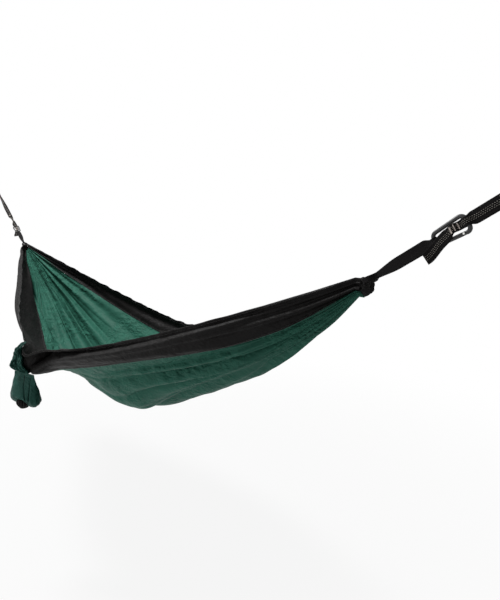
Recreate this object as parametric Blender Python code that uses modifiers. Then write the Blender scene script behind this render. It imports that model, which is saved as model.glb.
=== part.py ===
"""A gathered-end camping hammock, hung between two webbing tree straps.

The bed is one long cloth: a green centre panel between two black side panels, each ending
in a folded hem. Both ends of the cloth are bunched on a webbing loop. A carabiner joins
each loop to a daisy-chain tree strap, and a stuff sack hangs at the middle of the near hem.

Everything is modelled in the ridge frame: X runs along the hammock from the left gather to
the right one, Z is up, -Y is the near side, and the gathers lie at Z = 0. The empty named
hammock_origin then moves the whole model, so that its origin is in the right strap's eye.
"""

import math

import bmesh
import bpy
import numpy as np
from mathutils import Matrix, Vector

MM = 0.001
GAP = 0.3 * MM  # left between two pieces that touch

# Ridge and suspension
RIDGE_LENGTH = 2.786  # from gather to gather
RIGHT_RISE = math.radians(30.7)  # slope of the right strap above level
LEFT_RISE = math.radians(28.9)
SWING_HEIGHT = 0.372  # of the line on which the hammock swings, above the gathers

# Bed section at mid length, as the five handles of a Bezier curve from hem to hem (Y, Z)
NEAR_HEM = (-0.344, -0.362)
NEAR_HANDLE = (-0.322, -0.415)
BELLY_HANDLE = (0.070, -0.931)
FAR_HANDLE = (0.400, -0.460)
FAR_HEM = (0.380, -0.353)
# Sag along each half of the bed, for each handle: 1 is a straight V, 2 a parabola
SAG_POWERS = {"left": (1.37, 1.86, 1.50, 1.83, 1.19), "right": (1.37, 1.86, 1.92, 1.83, 1.19)}
MID_ROUNDING = 0.06  # share of the half length over which a hem's V is rounded

# Local sag and tuck of the belly: X, reach along X, share of the section and reach across it
SAG_PLACE = (0.378, 0.17, 0.436, 0.17)
SAG_DEPTH = 34 * MM
TUCK_PLACE = (0.150, 0.12, 0.270, 0.06)
TUCK_HEIGHT = 17 * MM
# How far the near seam lies from its even share of the section, from the left end to the right
SEAM_SHIFTS = (0.225, 0.020, 0.349, -0.402, 0.054, 0.068)

# Near corner at mid length, which the stuff sack's weight pulls out and down
CORNER_PLACE = -0.012
CORNER_REACH = 0.095
CORNER_OUT = 26 * MM  # of the hem
CORNER_BELLY = 55 * MM  # of the side panel, just above its seam
CORNER_DOWN = 38 * MM

# Bed cloth, with places across it as shares of its width from the near hem
NEAR_HEM_SHARE = 0.028
NEAR_SEAM_SHARE = 0.178
FAR_SEAM_SHARE = 0.862
FAR_HEM_SHARE = 0.972
CLOTH_THICKNESS = 1.2 * MM
HEM_THICKNESS = 2.2 * MM
PANEL_GAP = 0.6 * MM
FOLD_COUNT = 10
FOLD_DEPTH = 15 * MM
FOLD_TIGHTEST = 1.9 * MM  # smallest radius of a fold's crest
HEM_BULGE = 10 * MM  # of the side panels below their tighter hems
BED_ROWS = 18
ROW_CROWDING = 0.55
CENTRE_COLUMNS = 31
SIDE_COLUMNS = 6
HEM_COLUMNS = 1

# Gathered end: the cloth's end channel, scrunched on the webbing loop
NECK_HALF_WIDTH = 14 * MM
NECK_TOP = 6 * MM
NECK_DEPTH = 42 * MM
BUNCH_BACK = 24 * MM  # from the gather point to the bed's cloth
BED_TO_BUNCH = 0.8 * MM  # more than a gap, since the cloth's end leans
BUNCH_FRONT = 11 * MM
BUNCH_HALF_WIDTH = 13.5 * MM
BUNCH_HALF_HEIGHT = 24 * MM
BUNCH_DROP = 12 * MM
BUNCH_PLEATS = 11
BUNCH_PLEAT_DEPTH = 0.07
TUNNEL_BACK = 3 * MM  # the tunnel's axis behind the gather point

# Webbing
WEBBING_THICKNESS = 1.5 * MM
PLY_GAP = 0.4 * MM
LOOP_WIDTH = 21 * MM
LOOP_GATHERED_WIDTH = 12 * MM
LOOP_BOW_WIDTH = 11.5 * MM
LOOP_CORNER = 1.6 * MM  # radius at which the loop turns beside the bunch
LOOP_LEG_START = 9 * MM
LOOP_LEGS_MEET = 30 * MM  # from the gather point to where its two layers meet
STRAP_WIDTH = 26 * MM
STRAP_BOW_WIDTH = 17 * MM
TAIL_WIDTH = 23 * MM
TAIL_LIFT = 8.8 * MM  # of the tail in front of the carabiner's plane
TAIL_DROOP = 11 * MM
TAIL_BEYOND = 20 * MM  # of the tail past the carabiner
EYE_STRAIGHT = 18 * MM
EYE_FLARE = 22 * MM
EYE_SIDE = 12 * MM
EYE_HALF_GAP = 11 * MM
UPRIGHT = math.radians(90)  # twist at which a webbing's width stands upright
STRAP_TURN = {"right": 0.0, "left": math.radians(-180)}  # of each strap beyond its carabiner
TREE_TWIST = {"right": UPRIGHT, "left": UPRIGHT - math.pi}

# Carabiner, with its length along X, its spine at +Y and its gate at -Y
CARABINER_START = 0.172  # from the gather point to the carabiner, along the strap
CARABINER_TWIST = {"right": math.radians(92), "left": math.radians(154)}
CARABINER_LENGTH = 80 * MM
WIRE_RADIUS = 4.25 * MM
SPINE_WIDE = 16.75 * MM  # the spine's distance from the centre line at the tree end
SPINE_NARROW = 13 * MM
HINGE_POINT = (61.5 * MM, -16.55 * MM)
LATCH_POINT = (15.5 * MM, -12.2 * MM)
BOW_RADII = (7.8 * MM, 12 * MM, 9 * MM, 6.6 * MM)
GATE_RADIUS = 4.0 * MM
GATE_SLOT = 3.8 * MM
SLOT_REACH = 4.6 * MM  # of each slot past its pin
TONGUE_THICKNESS = 3.0 * MM
TONGUE_RADIUS = 3.3 * MM
RIVET_RADIUS = 1.4 * MM
RIVET_HEAD_RADIUS = 2.3 * MM
RIVET_HEAD_HEIGHT = 0.7 * MM
LATCH_PIN_RADIUS = 1.2 * MM
PIN_CLEARANCE = 0.35 * MM
GATE_BORE_RADIUS = 2.3 * MM
GATE_BORE_DEPTH = 20 * MM
GATE_SPRING_TURNS = 7
GATE_SPRING_WIRE = 0.25 * MM
PLUNGER_HEAD = 1.6 * MM

# Stuff sack: a crumpled flap on the near hem's outside, and the bag that hangs from it
FLAP_TOP_PLACE = -0.092  # X of the flap's middle at its top
FLAP_LOW_PLACE = -0.034  # and at its bottom
FLAP_ABOVE = 10 * MM  # above the hem's edge
FLAP_HEIGHT = 112 * MM
FLAP_TOP_HALF_WIDTH = 16 * MM
FLAP_HALF_WIDTH = 38 * MM
FLAP_HALF_DEPTH = 17 * MM
SACK_PLACE = -0.018  # X of the bag's middle
SACK_TURN = math.radians(22)  # of the bag's top line from the hammock's length
SACK_HEIGHT = 0.130
SACK_HALF_WIDTH = 64 * MM
SACK_HALF_DEPTH = 38 * MM
SACK_TOP_HALF_WIDTH = 38 * MM
SACK_WALL = 1.2 * MM
SACK_SEAM = 0.12  # share of the bag's height down to which its two sides are sewn together
BEAD_RADIUS = 1.3 * MM
CASING_RADIUS = 20 * MM
CASING_HEIGHT = 22 * MM
CASING_PLEATS = 9

COLOURS = {
    "green_cloth": ((0.055, 0.150, 0.110), 0.62, 0.0),
    "black_cloth": ((0.022, 0.021, 0.022), 0.68, 0.0),
    "black_webbing": ((0.013, 0.012, 0.013), 0.80, 0.0),
    "black_anodised": ((0.012, 0.012, 0.013), 0.34, 0.85),
    "bright_steel": ((0.62, 0.62, 0.60), 0.30, 1.0),
}


def clear_scene():
    for obj in list(bpy.data.objects):
        bpy.data.objects.remove(obj, do_unlink=True)


def new_collection(name):
    collection = bpy.data.collections.new(name)
    bpy.context.scene.collection.children.link(collection)
    return collection


def material(name):
    found = bpy.data.materials.get(name)
    if found:
        return found
    colour, roughness, metallic = COLOURS[name]
    made = bpy.data.materials.new(name)
    made.use_nodes = True
    shader = made.node_tree.nodes["Principled BSDF"]
    shader.inputs["Base Color"].default_value = (*colour, 1)
    shader.inputs["Roughness"].default_value = roughness
    shader.inputs["Metallic"].default_value = metallic
    made.diffuse_color = (*colour, 1)
    return made


def empty(name, parent, matrix):
    made = bpy.data.objects.new(name, None)
    PARTS.objects.link(made)
    made.parent = parent
    made.matrix_local = matrix
    return made


def place(name, mesh, finish, parent, matrix=None):
    """Adds a finished piece to the hammock's collection."""
    made = bpy.data.objects.new(name, mesh)
    PARTS.objects.link(made)
    made.parent = parent
    made.matrix_local = matrix or Matrix()
    if not mesh.materials:
        mesh.materials.append(material(finish))
    return made


def tool(mesh, matrix=None):
    """An object that a Boolean works with, kept out of the model."""
    made = bpy.data.objects.new("cutter", mesh)
    CUTTERS.objects.link(made)
    made.matrix_world = matrix or Matrix()
    made.hide_render = True
    made.display_type = "WIRE"
    return made


def boolean(target, operation, other):
    step = target.modifiers.new(operation.lower(), "BOOLEAN")
    step.operation = operation
    step.solver = "EXACT"
    step.object = other


def evaluated_mesh(obj):
    """The object's mesh with its modifiers worked out and its loose caps welded."""
    bpy.context.view_layer.update()
    graph = bpy.context.evaluated_depsgraph_get()
    mesh = bpy.data.meshes.new_from_object(obj.evaluated_get(graph))
    shape = bmesh.new()
    shape.from_mesh(mesh)
    bmesh.ops.remove_doubles(shape, verts=shape.verts, dist=1e-6)
    bmesh.ops.recalc_face_normals(shape, faces=shape.faces)
    shape.to_mesh(mesh)
    shape.free()
    return mesh


def taken_mesh(obj):
    """The evaluated mesh of a working object, which is then removed with its tools."""
    mesh = evaluated_mesh(obj)
    for step in obj.modifiers:
        if step.type == "BOOLEAN":
            bpy.data.objects.remove(step.object)
    bpy.data.objects.remove(obj)
    return mesh


def mesh_from(shape, smooth_angle=None):
    mesh = bpy.data.meshes.new("shape")
    shape.to_mesh(mesh)
    shape.free()
    if smooth_angle:
        mesh.shade_smooth()
        mesh.set_sharp_from_angle(angle=smooth_angle)
    return mesh


def cylinder(radius, length, segments=24, radius_end=None):
    """A closed cylinder along X, from X = 0 to its length."""
    shape = bmesh.new()
    turn = Matrix.Translation((length / 2, 0, 0)) @ Matrix.Rotation(math.pi / 2, 4, "Y")
    bmesh.ops.create_cone(
        shape, cap_ends=True, segments=segments, radius1=radius,
        radius2=radius if radius_end is None else radius_end, depth=length, matrix=turn,
    )
    return mesh_from(shape, math.radians(40))


def block(low, high, upright_radius=0.0):
    """A box between two corners, with its four upright edges rounded."""
    low, high = Vector(low), Vector(high)
    shape = bmesh.new()
    sizes = Matrix.Diagonal((*(high - low), 1))
    bmesh.ops.create_cube(shape, size=1, matrix=Matrix.Translation((low + high) / 2) @ sizes)
    if upright_radius:
        upright = [e for e in shape.edges if abs(e.verts[0].co.z - e.verts[1].co.z) > MM / 10]
        bmesh.ops.bevel(
            shape, geom=upright, offset=upright_radius, segments=8, affect="EDGES", profile=0.5
        )
    return mesh_from(shape)


def tube(points, radius, resolution, cyclic=False):
    """A round bar along the points, made a welded mesh."""
    curve = bpy.data.curves.new("bar", "CURVE")
    curve.dimensions = "3D"
    curve.bevel_depth = radius
    curve.bevel_resolution = resolution
    curve.use_fill_caps = True
    line = curve.splines.new("POLY")
    line.points.add(len(points) - 1)
    line.points.foreach_set("co", np.c_[points, np.ones(len(points))].ravel())
    line.use_cyclic_u = cyclic
    holder = bpy.data.objects.new("bar", curve)
    CUTTERS.objects.link(holder)
    mesh = taken_mesh(holder)
    mesh.shade_smooth()
    mesh.set_sharp_from_angle(angle=math.radians(50))
    return mesh


def loft(rings):
    """A closed skin over rings of points, with both end rings filled."""
    shape = bmesh.new()
    loops = [[shape.verts.new(point) for point in ring] for ring in rings]
    for here, there in zip(loops, loops[1:]):
        for k in range(len(here)):
            shape.faces.new((here[k - 1], here[k], there[k], there[k - 1]))
    shape.faces.new(reversed(loops[0]))
    shape.faces.new(loops[-1])
    bmesh.ops.recalc_face_normals(shape, faces=shape.faces)
    return mesh_from(shape, math.radians(60))


def ease(x, low, high):
    """0 below low, 1 above high, and a smooth step between."""
    share = np.clip((np.asarray(x, float) - low) / (high - low), 0, 1)
    return share * share * (3 - 2 * share)


def bezier(share, handles):
    degree = len(handles) - 1
    return sum(
        math.comb(degree, k) * (1 - share) ** (degree - k) * share**k * handles[k]
        for k in range(degree + 1)
    )


def bed_half_length():
    """Half the bed's length between the two bunches."""
    return RIDGE_LENGTH / 2 - BUNCH_BACK - BED_TO_BUNCH


def smooth_bed(along, across):
    """The bed without folds. along runs from -1 to 1, end to end, and across from 0 to 1."""
    rounding = math.hypot(1, MID_ROUNDING) - MID_ROUNDING
    run = (np.hypot(along, MID_ROUNDING) - MID_ROUNDING) / rounding
    shift = bezier((np.clip(along, -1, 1) + 1) / 2, SEAM_SHIFTS)
    spread = ease(across, NEAR_HEM_SHARE, NEAR_SEAM_SHARE) * (1 - ease(across, NEAR_SEAM_SHARE, 0.62))
    across = across + shift * spread
    left, right = (bezier(across, SAG_POWERS[side]) for side in ("left", "right"))
    drop = 1 - np.clip(run, 1e-9, 1) ** np.where(along > 0, right, left)
    handles = (NEAR_HEM, NEAR_HANDLE, BELLY_HANDLE, FAR_HANDLE, FAR_HEM)
    half_turn = math.pi * across
    neck_y = -NECK_HALF_WIDTH * np.cos(half_turn)
    neck_z = NECK_TOP - NECK_DEPTH * np.sin(half_turn)
    x = bed_half_length() * along + 0 * across
    y = drop * bezier(across, [h[0] for h in handles]) + (1 - drop) * neck_y
    z = drop * bezier(across, [h[1] for h in handles]) + (1 - drop) * neck_z
    pull = np.exp(-(((x - CORNER_PLACE) / CORNER_REACH) ** 2))
    belly = np.exp(-(((across - 0.135) / 0.06) ** 2))
    y = y - pull * (CORNER_OUT * (1 - ease(across, 0, 0.2)) + CORNER_BELLY * belly)
    z = z - pull * CORNER_DOWN * (1 - ease(across, 0.13, 0.26))
    for (place, reach, share, share_reach), height in ((SAG_PLACE, -SAG_DEPTH), (TUCK_PLACE, TUCK_HEIGHT)):
        z = z + height * np.exp(-(((x - place) / reach) ** 2) - ((across - share) / share_reach) ** 2)
    return np.stack([x, y, z], -1), drop


def bed_normal(along, across):
    """The unit normal into the bed's hollow, and the bed's length for each unit across."""
    step = 1e-4
    lengthwise = smooth_bed(along + step, across)[0] - smooth_bed(along - step, across)[0]
    crosswise = smooth_bed(along, across + step)[0] - smooth_bed(along, across - step)[0]
    normal = np.cross(lengthwise, crosswise)
    normal /= np.linalg.norm(normal, axis=-1, keepdims=True)
    return normal, np.linalg.norm(crosswise, axis=-1) / (2 * step)


def bed(along, across, offset=0.0):
    """The bed with its main folds, which fan out from both gathers."""
    points, drop = smooth_bed(along, across)
    normal, width = bed_normal(along, across)
    wave = width / FOLD_COUNT
    sharpest = wave**2 / (4 * math.pi**2 * FOLD_TIGHTEST)
    wanted = FOLD_DEPTH * (0.25 + 0.75 * np.abs(along)) * drop**0.5
    depth = wanted * sharpest / (wanted + sharpest)
    inside = ease(across, 0.02, 0.16) * ease(1 - across, 0.02, 0.14)
    slant = 0.35 * np.sin(2.3 * along + 1.1)
    fold = depth * inside * np.sin(2 * math.pi * (FOLD_COUNT * across + slant))
    near_bulge = np.exp(-(((across - 0.07) / 0.035) ** 2))
    far_bulge = np.exp(-(((across - 0.93) / 0.035) ** 2))
    bulge = HEM_BULGE * drop * (near_bulge + far_bulge)
    return points + normal * (fold - bulge + offset)[..., None]


def row_place(share):
    """Rows of the bed, crowded towards its middle and its ends, from -1 to 1."""
    return share - ROW_CROWDING * np.sin(2 * math.pi * share) / (2 * math.pi)


def grid_object(name, rows, columns, mapping, finish, parent, thickness, ring=False):
    """A sheet: a grid laid by mapping(x, y), with x and y from -1 to 1, and given a thickness."""
    shape = bmesh.new()
    bmesh.ops.create_grid(shape, x_segments=rows, y_segments=columns, size=1)
    flat = np.array([v.co for v in shape.verts])
    for vertex, point in zip(shape.verts, mapping(flat[:, 0], flat[:, 1])):
        vertex.co = point
    if ring:
        bmesh.ops.remove_doubles(shape, verts=shape.verts, dist=1e-6)
    made = place(name, mesh_from(shape, math.radians(60)), finish, parent)
    wall = made.modifiers.new("thickness", "SOLIDIFY")
    wall.thickness = thickness
    wall.offset = 0
    return made


def bed_panel(name, low, high, columns, finish, thickness, parent):
    """One lengthwise strip of the bed, from one share of its width to another."""

    def mapping(x, y):
        along = row_place(x)
        low_rate = bed_normal(along, np.full_like(x, low))[1]
        high_rate = bed_normal(along, np.full_like(x, high))[1]
        start = low + (low > 0) * PANEL_GAP / 2 / low_rate
        end = high - (high < 1) * PANEL_GAP / 2 / high_rate
        return bed(along, start + (end - start) * (y + 1) / 2)

    return grid_object(name, BED_ROWS, columns, mapping, finish, parent, thickness)


def make_bed(parent):
    bed_panel("near_hem", 0, NEAR_HEM_SHARE, HEM_COLUMNS, "black_cloth", HEM_THICKNESS, parent)
    bed_panel(
        "near_side_panel", NEAR_HEM_SHARE, NEAR_SEAM_SHARE, SIDE_COLUMNS, "black_cloth",
        CLOTH_THICKNESS, parent,
    )
    bed_panel(
        "centre_panel", NEAR_SEAM_SHARE, FAR_SEAM_SHARE, CENTRE_COLUMNS, "green_cloth",
        CLOTH_THICKNESS, parent,
    )
    bed_panel(
        "far_side_panel", FAR_SEAM_SHARE, FAR_HEM_SHARE, SIDE_COLUMNS - 1, "black_cloth",
        CLOTH_THICKNESS, parent,
    )
    bed_panel("far_hem", FAR_HEM_SHARE, 1, HEM_COLUMNS, "black_cloth", HEM_THICKNESS, parent)


def side_matrix(side):
    """Frame of one suspension: X up along the strap, Y level across it, origin at its gather."""
    turned = Matrix() if side == "right" else Matrix.Rotation(math.pi, 4, "Z")
    rise = RIGHT_RISE if side == "right" else LEFT_RISE
    gather = Matrix.Translation((RIDGE_LENGTH / 2, 0, 0))
    return turned @ gather @ Matrix.Rotation(-rise, 4, "Y")


def level_matrix(side):
    """Frame of one gather, with X level towards the tree."""
    turned = Matrix() if side == "right" else Matrix.Rotation(math.pi, 4, "Z")
    return turned @ Matrix.Translation((RIDGE_LENGTH / 2, 0, 0))


def webbing_point(distance, lift, twist, across):
    """A point on webbing: distance along the strap, lift off its axis, and across its width.

    At twist 0 the width lies level and the lift goes up. The twist turns both about the strap.
    """
    width_y, width_z = np.cos(twist), np.sin(twist)
    return np.stack(
        [
            distance,
            across * width_y - lift * width_z,
            across * width_z + lift * width_y,
        ],
        -1,
    )


def webbing(name, path, columns, finish, parent, matrix, ring=False, skew=None):
    """A flat strip. path gives rows of distance, lift, twist, width and sideways shift.

    skew is a function of a row's distance and of a point's height on the strip, added to the
    point's distance, so that an end can be cut upright and not square.
    """
    distance, lift, twist, width, shift = (np.asarray(column, float) for column in path)
    rows = len(distance) - 1

    def mapping(x, y):
        row = np.rint((x + 1) / 2 * rows).astype(int)
        across = shift[row] + width[row] / 2 * y
        along = distance[row]
        if skew:
            along = along + skew(along, across * np.sin(twist[row]))
        return webbing_point(along, lift[row], twist[row], across)

    made = grid_object(name, rows, columns, mapping, finish, parent, WEBBING_THICKNESS, ring)
    made.matrix_local = matrix
    return made


def bunch_side():
    """How far the bunch reaches to each side, pleats included."""
    return BUNCH_HALF_WIDTH * (1 + BUNCH_PLEAT_DEPTH)


def make_end_channel(side, parent):
    """The scrunched end channel: a pleated barrel, blunt in front, with a tunnel for the loop."""
    stations = ((0.0, 0.93), (0.12, 1.0), (0.35, 1.0), (0.6, 0.985), (0.82, 0.93), (0.93, 0.83), (1.0, 0.66))
    turn = np.linspace(0, 2 * math.pi, 4 * BUNCH_PLEATS, endpoint=False)
    rings = []
    for share, size in stations:
        pleat = 1 + BUNCH_PLEAT_DEPTH * np.cos(BUNCH_PLEATS * turn + 0.8 * share) * (share > 0)
        x = np.full_like(turn, -BUNCH_BACK + share * (BUNCH_BACK + BUNCH_FRONT))
        y = BUNCH_HALF_WIDTH * size * pleat * np.cos(turn)
        z = BUNCH_HALF_HEIGHT * size * pleat * np.sin(turn) - BUNCH_DROP
        rings.append(np.stack([x, y, z], -1))
    holder = bpy.data.objects.new("bunch", loft(rings))
    CUTTERS.objects.link(holder)
    half_slot = WEBBING_THICKNESS / 2 + GAP
    half_tall = LOOP_GATHERED_WIDTH / 2 + GAP
    reach = 2 * BUNCH_HALF_WIDTH
    tunnel = block((-half_slot, -reach, -half_tall), (half_slot, reach, half_tall))
    rise = RIGHT_RISE if side == "right" else LEFT_RISE
    slope = Matrix.Rotation(-rise, 4, "Y") @ Matrix.Translation((-TUNNEL_BACK, 0, 0))
    boolean(holder, "DIFFERENCE", tool(tunnel, slope))
    place(side + "_end_channel", taken_mesh(holder), "black_cloth", parent, level_matrix(side))


def bow_lift():
    """The lift of webbing that passes over the carabiner's wire."""
    return WIRE_RADIUS + GAP + WEBBING_THICKNESS / 2


def ply_lift():
    """The lift of each of two plies that lie face to face."""
    return (WEBBING_THICKNESS + PLY_GAP) / 2


def make_webbing_loop(side, parent):
    """The loop that runs through the end channel's tunnel and round the carabiner's bow."""
    side_lift = bunch_side() + LOOP_CORNER
    corner = LOOP_CORNER
    start = -TUNNEL_BACK
    bow = CARABINER_START + WIRE_RADIUS
    turn = np.linspace(0, math.pi / 2, 4)
    run = np.linspace(0, 1, 22)[1:-1] ** 1.3
    leg_start, leg_end = LOOP_LEG_START, bow
    leg = leg_start + (leg_end - leg_start) * run
    lift = ply_lift() + (side_lift - ply_lift()) * (1 - ease(leg, leg_start, LOOP_LEGS_MEET))
    lift = np.maximum(lift, ply_lift() + (bow_lift() - ply_lift()) * ease(leg, bow - 18 * MM, bow))
    half_distance = np.concatenate([
        [start, start], start + corner * (1 - np.cos(turn)), [leg_start], leg,
        bow + bow_lift() * np.sin(turn),
    ])
    half_lift = np.concatenate([
        [0, (side_lift - corner) / 2], side_lift - corner * (1 - np.sin(turn)), [side_lift], lift,
        bow_lift() * np.cos(turn),
    ])
    distance = np.concatenate([half_distance, half_distance[-2::-1]])
    lift = np.concatenate([half_lift, -half_lift[-2::-1]])
    twist = UPRIGHT + (CARABINER_TWIST[side] - UPRIGHT) * ease(distance, 20 * MM, bow - 15 * MM)
    width = LOOP_GATHERED_WIDTH + (LOOP_WIDTH - LOOP_GATHERED_WIDTH) * ease(
        distance, 15 * MM, 110 * MM
    )
    width = width + (LOOP_BOW_WIDTH - LOOP_WIDTH) * ease(distance, bow - 18 * MM, bow - 5 * MM)
    path = (distance, lift, twist, width, 0 * distance)
    webbing(side + "_webbing_loop", path, 2, "black_webbing", parent, side_matrix(side), ring=True)


def cut_distance(side):
    """Along the strap, from its gather to the upright cut that the hammock swings at."""
    return SWING_HEIGHT / math.sin(RIGHT_RISE if side == "right" else LEFT_RISE)


def cut_skew(side, direction):
    """Skew that makes the strip's end upright, fading out over 30 mm from the cut."""
    slope = math.tan(RIGHT_RISE if side == "right" else LEFT_RISE)
    cut = cut_distance(side)

    def skew(distance, height):
        return height * slope * (1 - ease(direction * (distance - cut), 0, 30 * MM))

    return skew


def strap_twist(side, from_bow):
    """The strap's twist: the carabiner's, then its own turn, then a slow turn to the tree's."""
    start, turn = CARABINER_TWIST[side], STRAP_TURN[side]
    left_over = TREE_TWIST[side] - start - turn
    return start + turn * ease(from_bow, 8 * MM, 180 * MM) + left_over * ease(from_bow, 0.2, 0.45)


def make_tree_strap(side, parent):
    """The strap's two plies, from the swing line round the carabiner's tree bow to the tail."""
    bow = CARABINER_START + CARABINER_LENGTH - WIRE_RADIUS
    slack = GAP / 2 / math.cos(RIGHT_RISE if side == "right" else LEFT_RISE)
    top = cut_distance(side) - slack
    tail_end = CARABINER_START - TAIL_BEYOND
    past_bow = np.concatenate([
        np.linspace(bow + 15 * MM, bow + 195 * MM, 13)[:-1], np.linspace(bow + 195 * MM, top, 7),
    ])
    at_bow = np.linspace(bow - 16 * MM, bow + 15 * MM, 12)[:-1]
    tail = np.linspace(tail_end, bow - 16 * MM, 16)[:-1]
    distance = np.concatenate([tail, at_bow, past_bow])
    from_bow = distance - bow
    bump = np.where(
        np.abs(from_bow) < 15 * MM, np.cos(from_bow / (15 * MM) * math.pi / 2) ** 2, 0
    )
    half = ply_lift() + (bow_lift() - ply_lift()) * bump
    out = ease(-from_bow, 15 * MM, 30 * MM)
    curl = ease(-from_bow, 55 * MM, 98 * MM)
    middle = TAIL_LIFT * out + 3 * MM * curl
    half = half * np.hypot(1, np.gradient(middle, distance))
    twist = strap_twist(side, distance - bow)
    twist = twist + math.radians(14) * curl
    width = STRAP_BOW_WIDTH + (STRAP_WIDTH - STRAP_BOW_WIDTH) * ease(
        distance, bow + 1 * MM, bow + 20 * MM
    )
    width = width + (TAIL_WIDTH - STRAP_BOW_WIDTH) * ease(-from_bow, 28 * MM, 60 * MM)
    shift = 1 * MM * (1 - ease(distance, bow + 1 * MM, bow + 20 * MM))
    shift = shift - TAIL_DROOP * ease(-from_bow, 26 * MM, 95 * MM)
    skew = cut_skew(side, -1)
    for name, sign in (("_tree_strap", 1), ("_strap_loop_ply", -1)):
        path = (distance, middle + sign * half, twist, width, shift)
        webbing(
            side + name, path, 2, "black_webbing", parent, side_matrix(side), skew=skew
        )


def make_strap_eye(side, parent):
    """The sewn eye at the strap's tree end, which the tree or another strap holds."""
    start = cut_distance(side) + GAP / 2 / math.cos(RIGHT_RISE if side == "right" else LEFT_RISE)
    flare_start = start + EYE_STRAIGHT
    flare_end = flare_start + EYE_FLARE
    side_end = flare_end + EYE_SIDE
    straight = np.linspace(start, flare_start, 4)[:-1]
    flare = np.linspace(flare_start, flare_end, 8)[:-1]
    sides = np.linspace(flare_end, side_end, 4)
    turn = np.linspace(0, math.pi / 2, 7)[1:]
    half_distance = np.concatenate([straight, flare, sides, side_end + EYE_HALF_GAP * np.sin(turn)])
    opening = EYE_HALF_GAP - ply_lift()
    half_lift = np.concatenate([
        ply_lift() + 0 * straight,
        ply_lift() + opening * ease(flare, flare_start, flare_end),
        EYE_HALF_GAP + 0 * sides,
        EYE_HALF_GAP * np.cos(turn),
    ])
    distance = np.concatenate([half_distance, half_distance[-2::-1]])
    lift = np.concatenate([half_lift, -half_lift[-2::-1]])
    path = (distance, lift, 0 * lift + TREE_TWIST[side], 0 * lift + STRAP_WIDTH, 0 * lift)
    webbing(
        side + "_strap_eye", path, 2, "black_webbing", parent, side_matrix(side),
        skew=cut_skew(side, 1),
    )


def eye_centre(side):
    """The middle of a strap eye's hole, in the ridge frame."""
    slack = GAP / 2 / math.cos(RIGHT_RISE if side == "right" else LEFT_RISE)
    distance = cut_distance(side) + slack + EYE_STRAIGHT + EYE_FLARE + EYE_SIDE / 2
    return side_matrix(side) @ Vector((distance, 0, 0))


def filleted(corners, radii, steps):
    """A line through corners, each rounded by an arc of its radius. The ends stay sharp."""
    corners = [Vector((*c, 0)) for c in corners]
    points = [corners[0]]
    for before, here, after, radius in zip(corners, corners[1:], corners[2:], radii):
        to_before = (before - here).normalized()
        to_after = (after - here).normalized()
        half = to_before.angle(to_after) / 2
        centre = here + (to_before + to_after).normalized() * radius / math.sin(half)
        start = here + to_before * radius / math.tan(half) - centre
        end = here + to_after * radius / math.tan(half) - centre
        full = start.angle(end)
        for k in range(steps + 1):
            share = k / steps
            blend = math.sin((1 - share) * full) * start + math.sin(share * full) * end
            points.append(centre + blend / math.sin(full))
    points.append(corners[-1])
    return np.array(points)


def gate_frame():
    """The gate's frame in the carabiner: origin on the hinge, X towards the latch."""
    hinge, latch = Vector((*HINGE_POINT, 0)), Vector((*LATCH_POINT, 0))
    run = latch - hinge
    turn = math.atan2(run.y, run.x)
    return Matrix.Translation(hinge) @ Matrix.Rotation(turn, 4, "Z"), run.length


def along_z(mesh_length):
    """Stands a piece made along X upright, centred on its length."""
    return Matrix.Rotation(-math.pi / 2, 4, "Y") @ Matrix.Translation((-mesh_length / 2, 0, 0))


def carabiner_body_mesh():
    """The bent bar with a hinge tongue at one end and a hooked nose at the other."""
    frame, reach = gate_frame()
    end_gap = GATE_RADIUS + 2 * GAP
    hinge_end = frame @ Vector((-end_gap, 0, 0))
    nose_end = frame @ Vector((reach + end_gap, 0, 0))
    wide_x = CARABINER_LENGTH - WIRE_RADIUS
    narrow_x = WIRE_RADIUS
    slope = (LATCH_POINT[1] - HINGE_POINT[1]) / (LATCH_POINT[0] - HINGE_POINT[0])
    corners = (
        hinge_end.xy,
        (wide_x, HINGE_POINT[1] + slope * (wide_x - HINGE_POINT[0])),
        (wide_x, SPINE_WIDE),
        (narrow_x, SPINE_NARROW),
        (narrow_x, HINGE_POINT[1] + slope * (narrow_x - HINGE_POINT[0])),
        nose_end.xy,
    )
    bar = tube(filleted(corners, BOW_RADII, 8), WIRE_RADIUS, 5)
    holder = bpy.data.objects.new("carabiner", bar)
    CUTTERS.objects.link(holder)
    half = TONGUE_THICKNESS / 2
    sunk = end_gap + 3 * MM
    hinge_tongue = block(
        (-sunk, -TONGUE_RADIUS, -half), (TONGUE_RADIUS, TONGUE_RADIUS, half), TONGUE_RADIUS * 0.98
    )
    boolean(holder, "UNION", tool(hinge_tongue, frame))
    nose_tip = reach - SLOT_REACH + 4 * GAP
    nose_tongue = block(
        (nose_tip, -TONGUE_RADIUS, -half), (reach + sunk, TONGUE_RADIUS, half), 0.8 * MM
    )
    boolean(holder, "UNION", tool(nose_tongue, frame))
    hole_length = 3 * TONGUE_THICKNESS
    hole = cylinder(RIVET_RADIUS + PIN_CLEARANCE, hole_length)
    boolean(holder, "DIFFERENCE", tool(hole, frame @ along_z(hole_length)))
    notch_half = LATCH_PIN_RADIUS + PIN_CLEARANCE
    notch = block(
        (reach - notch_half, -2 * TONGUE_RADIUS, -2 * half), (reach + notch_half, notch_half, 2 * half)
    )
    boolean(holder, "DIFFERENCE", tool(notch, frame))
    return taken_mesh(holder)


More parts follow.
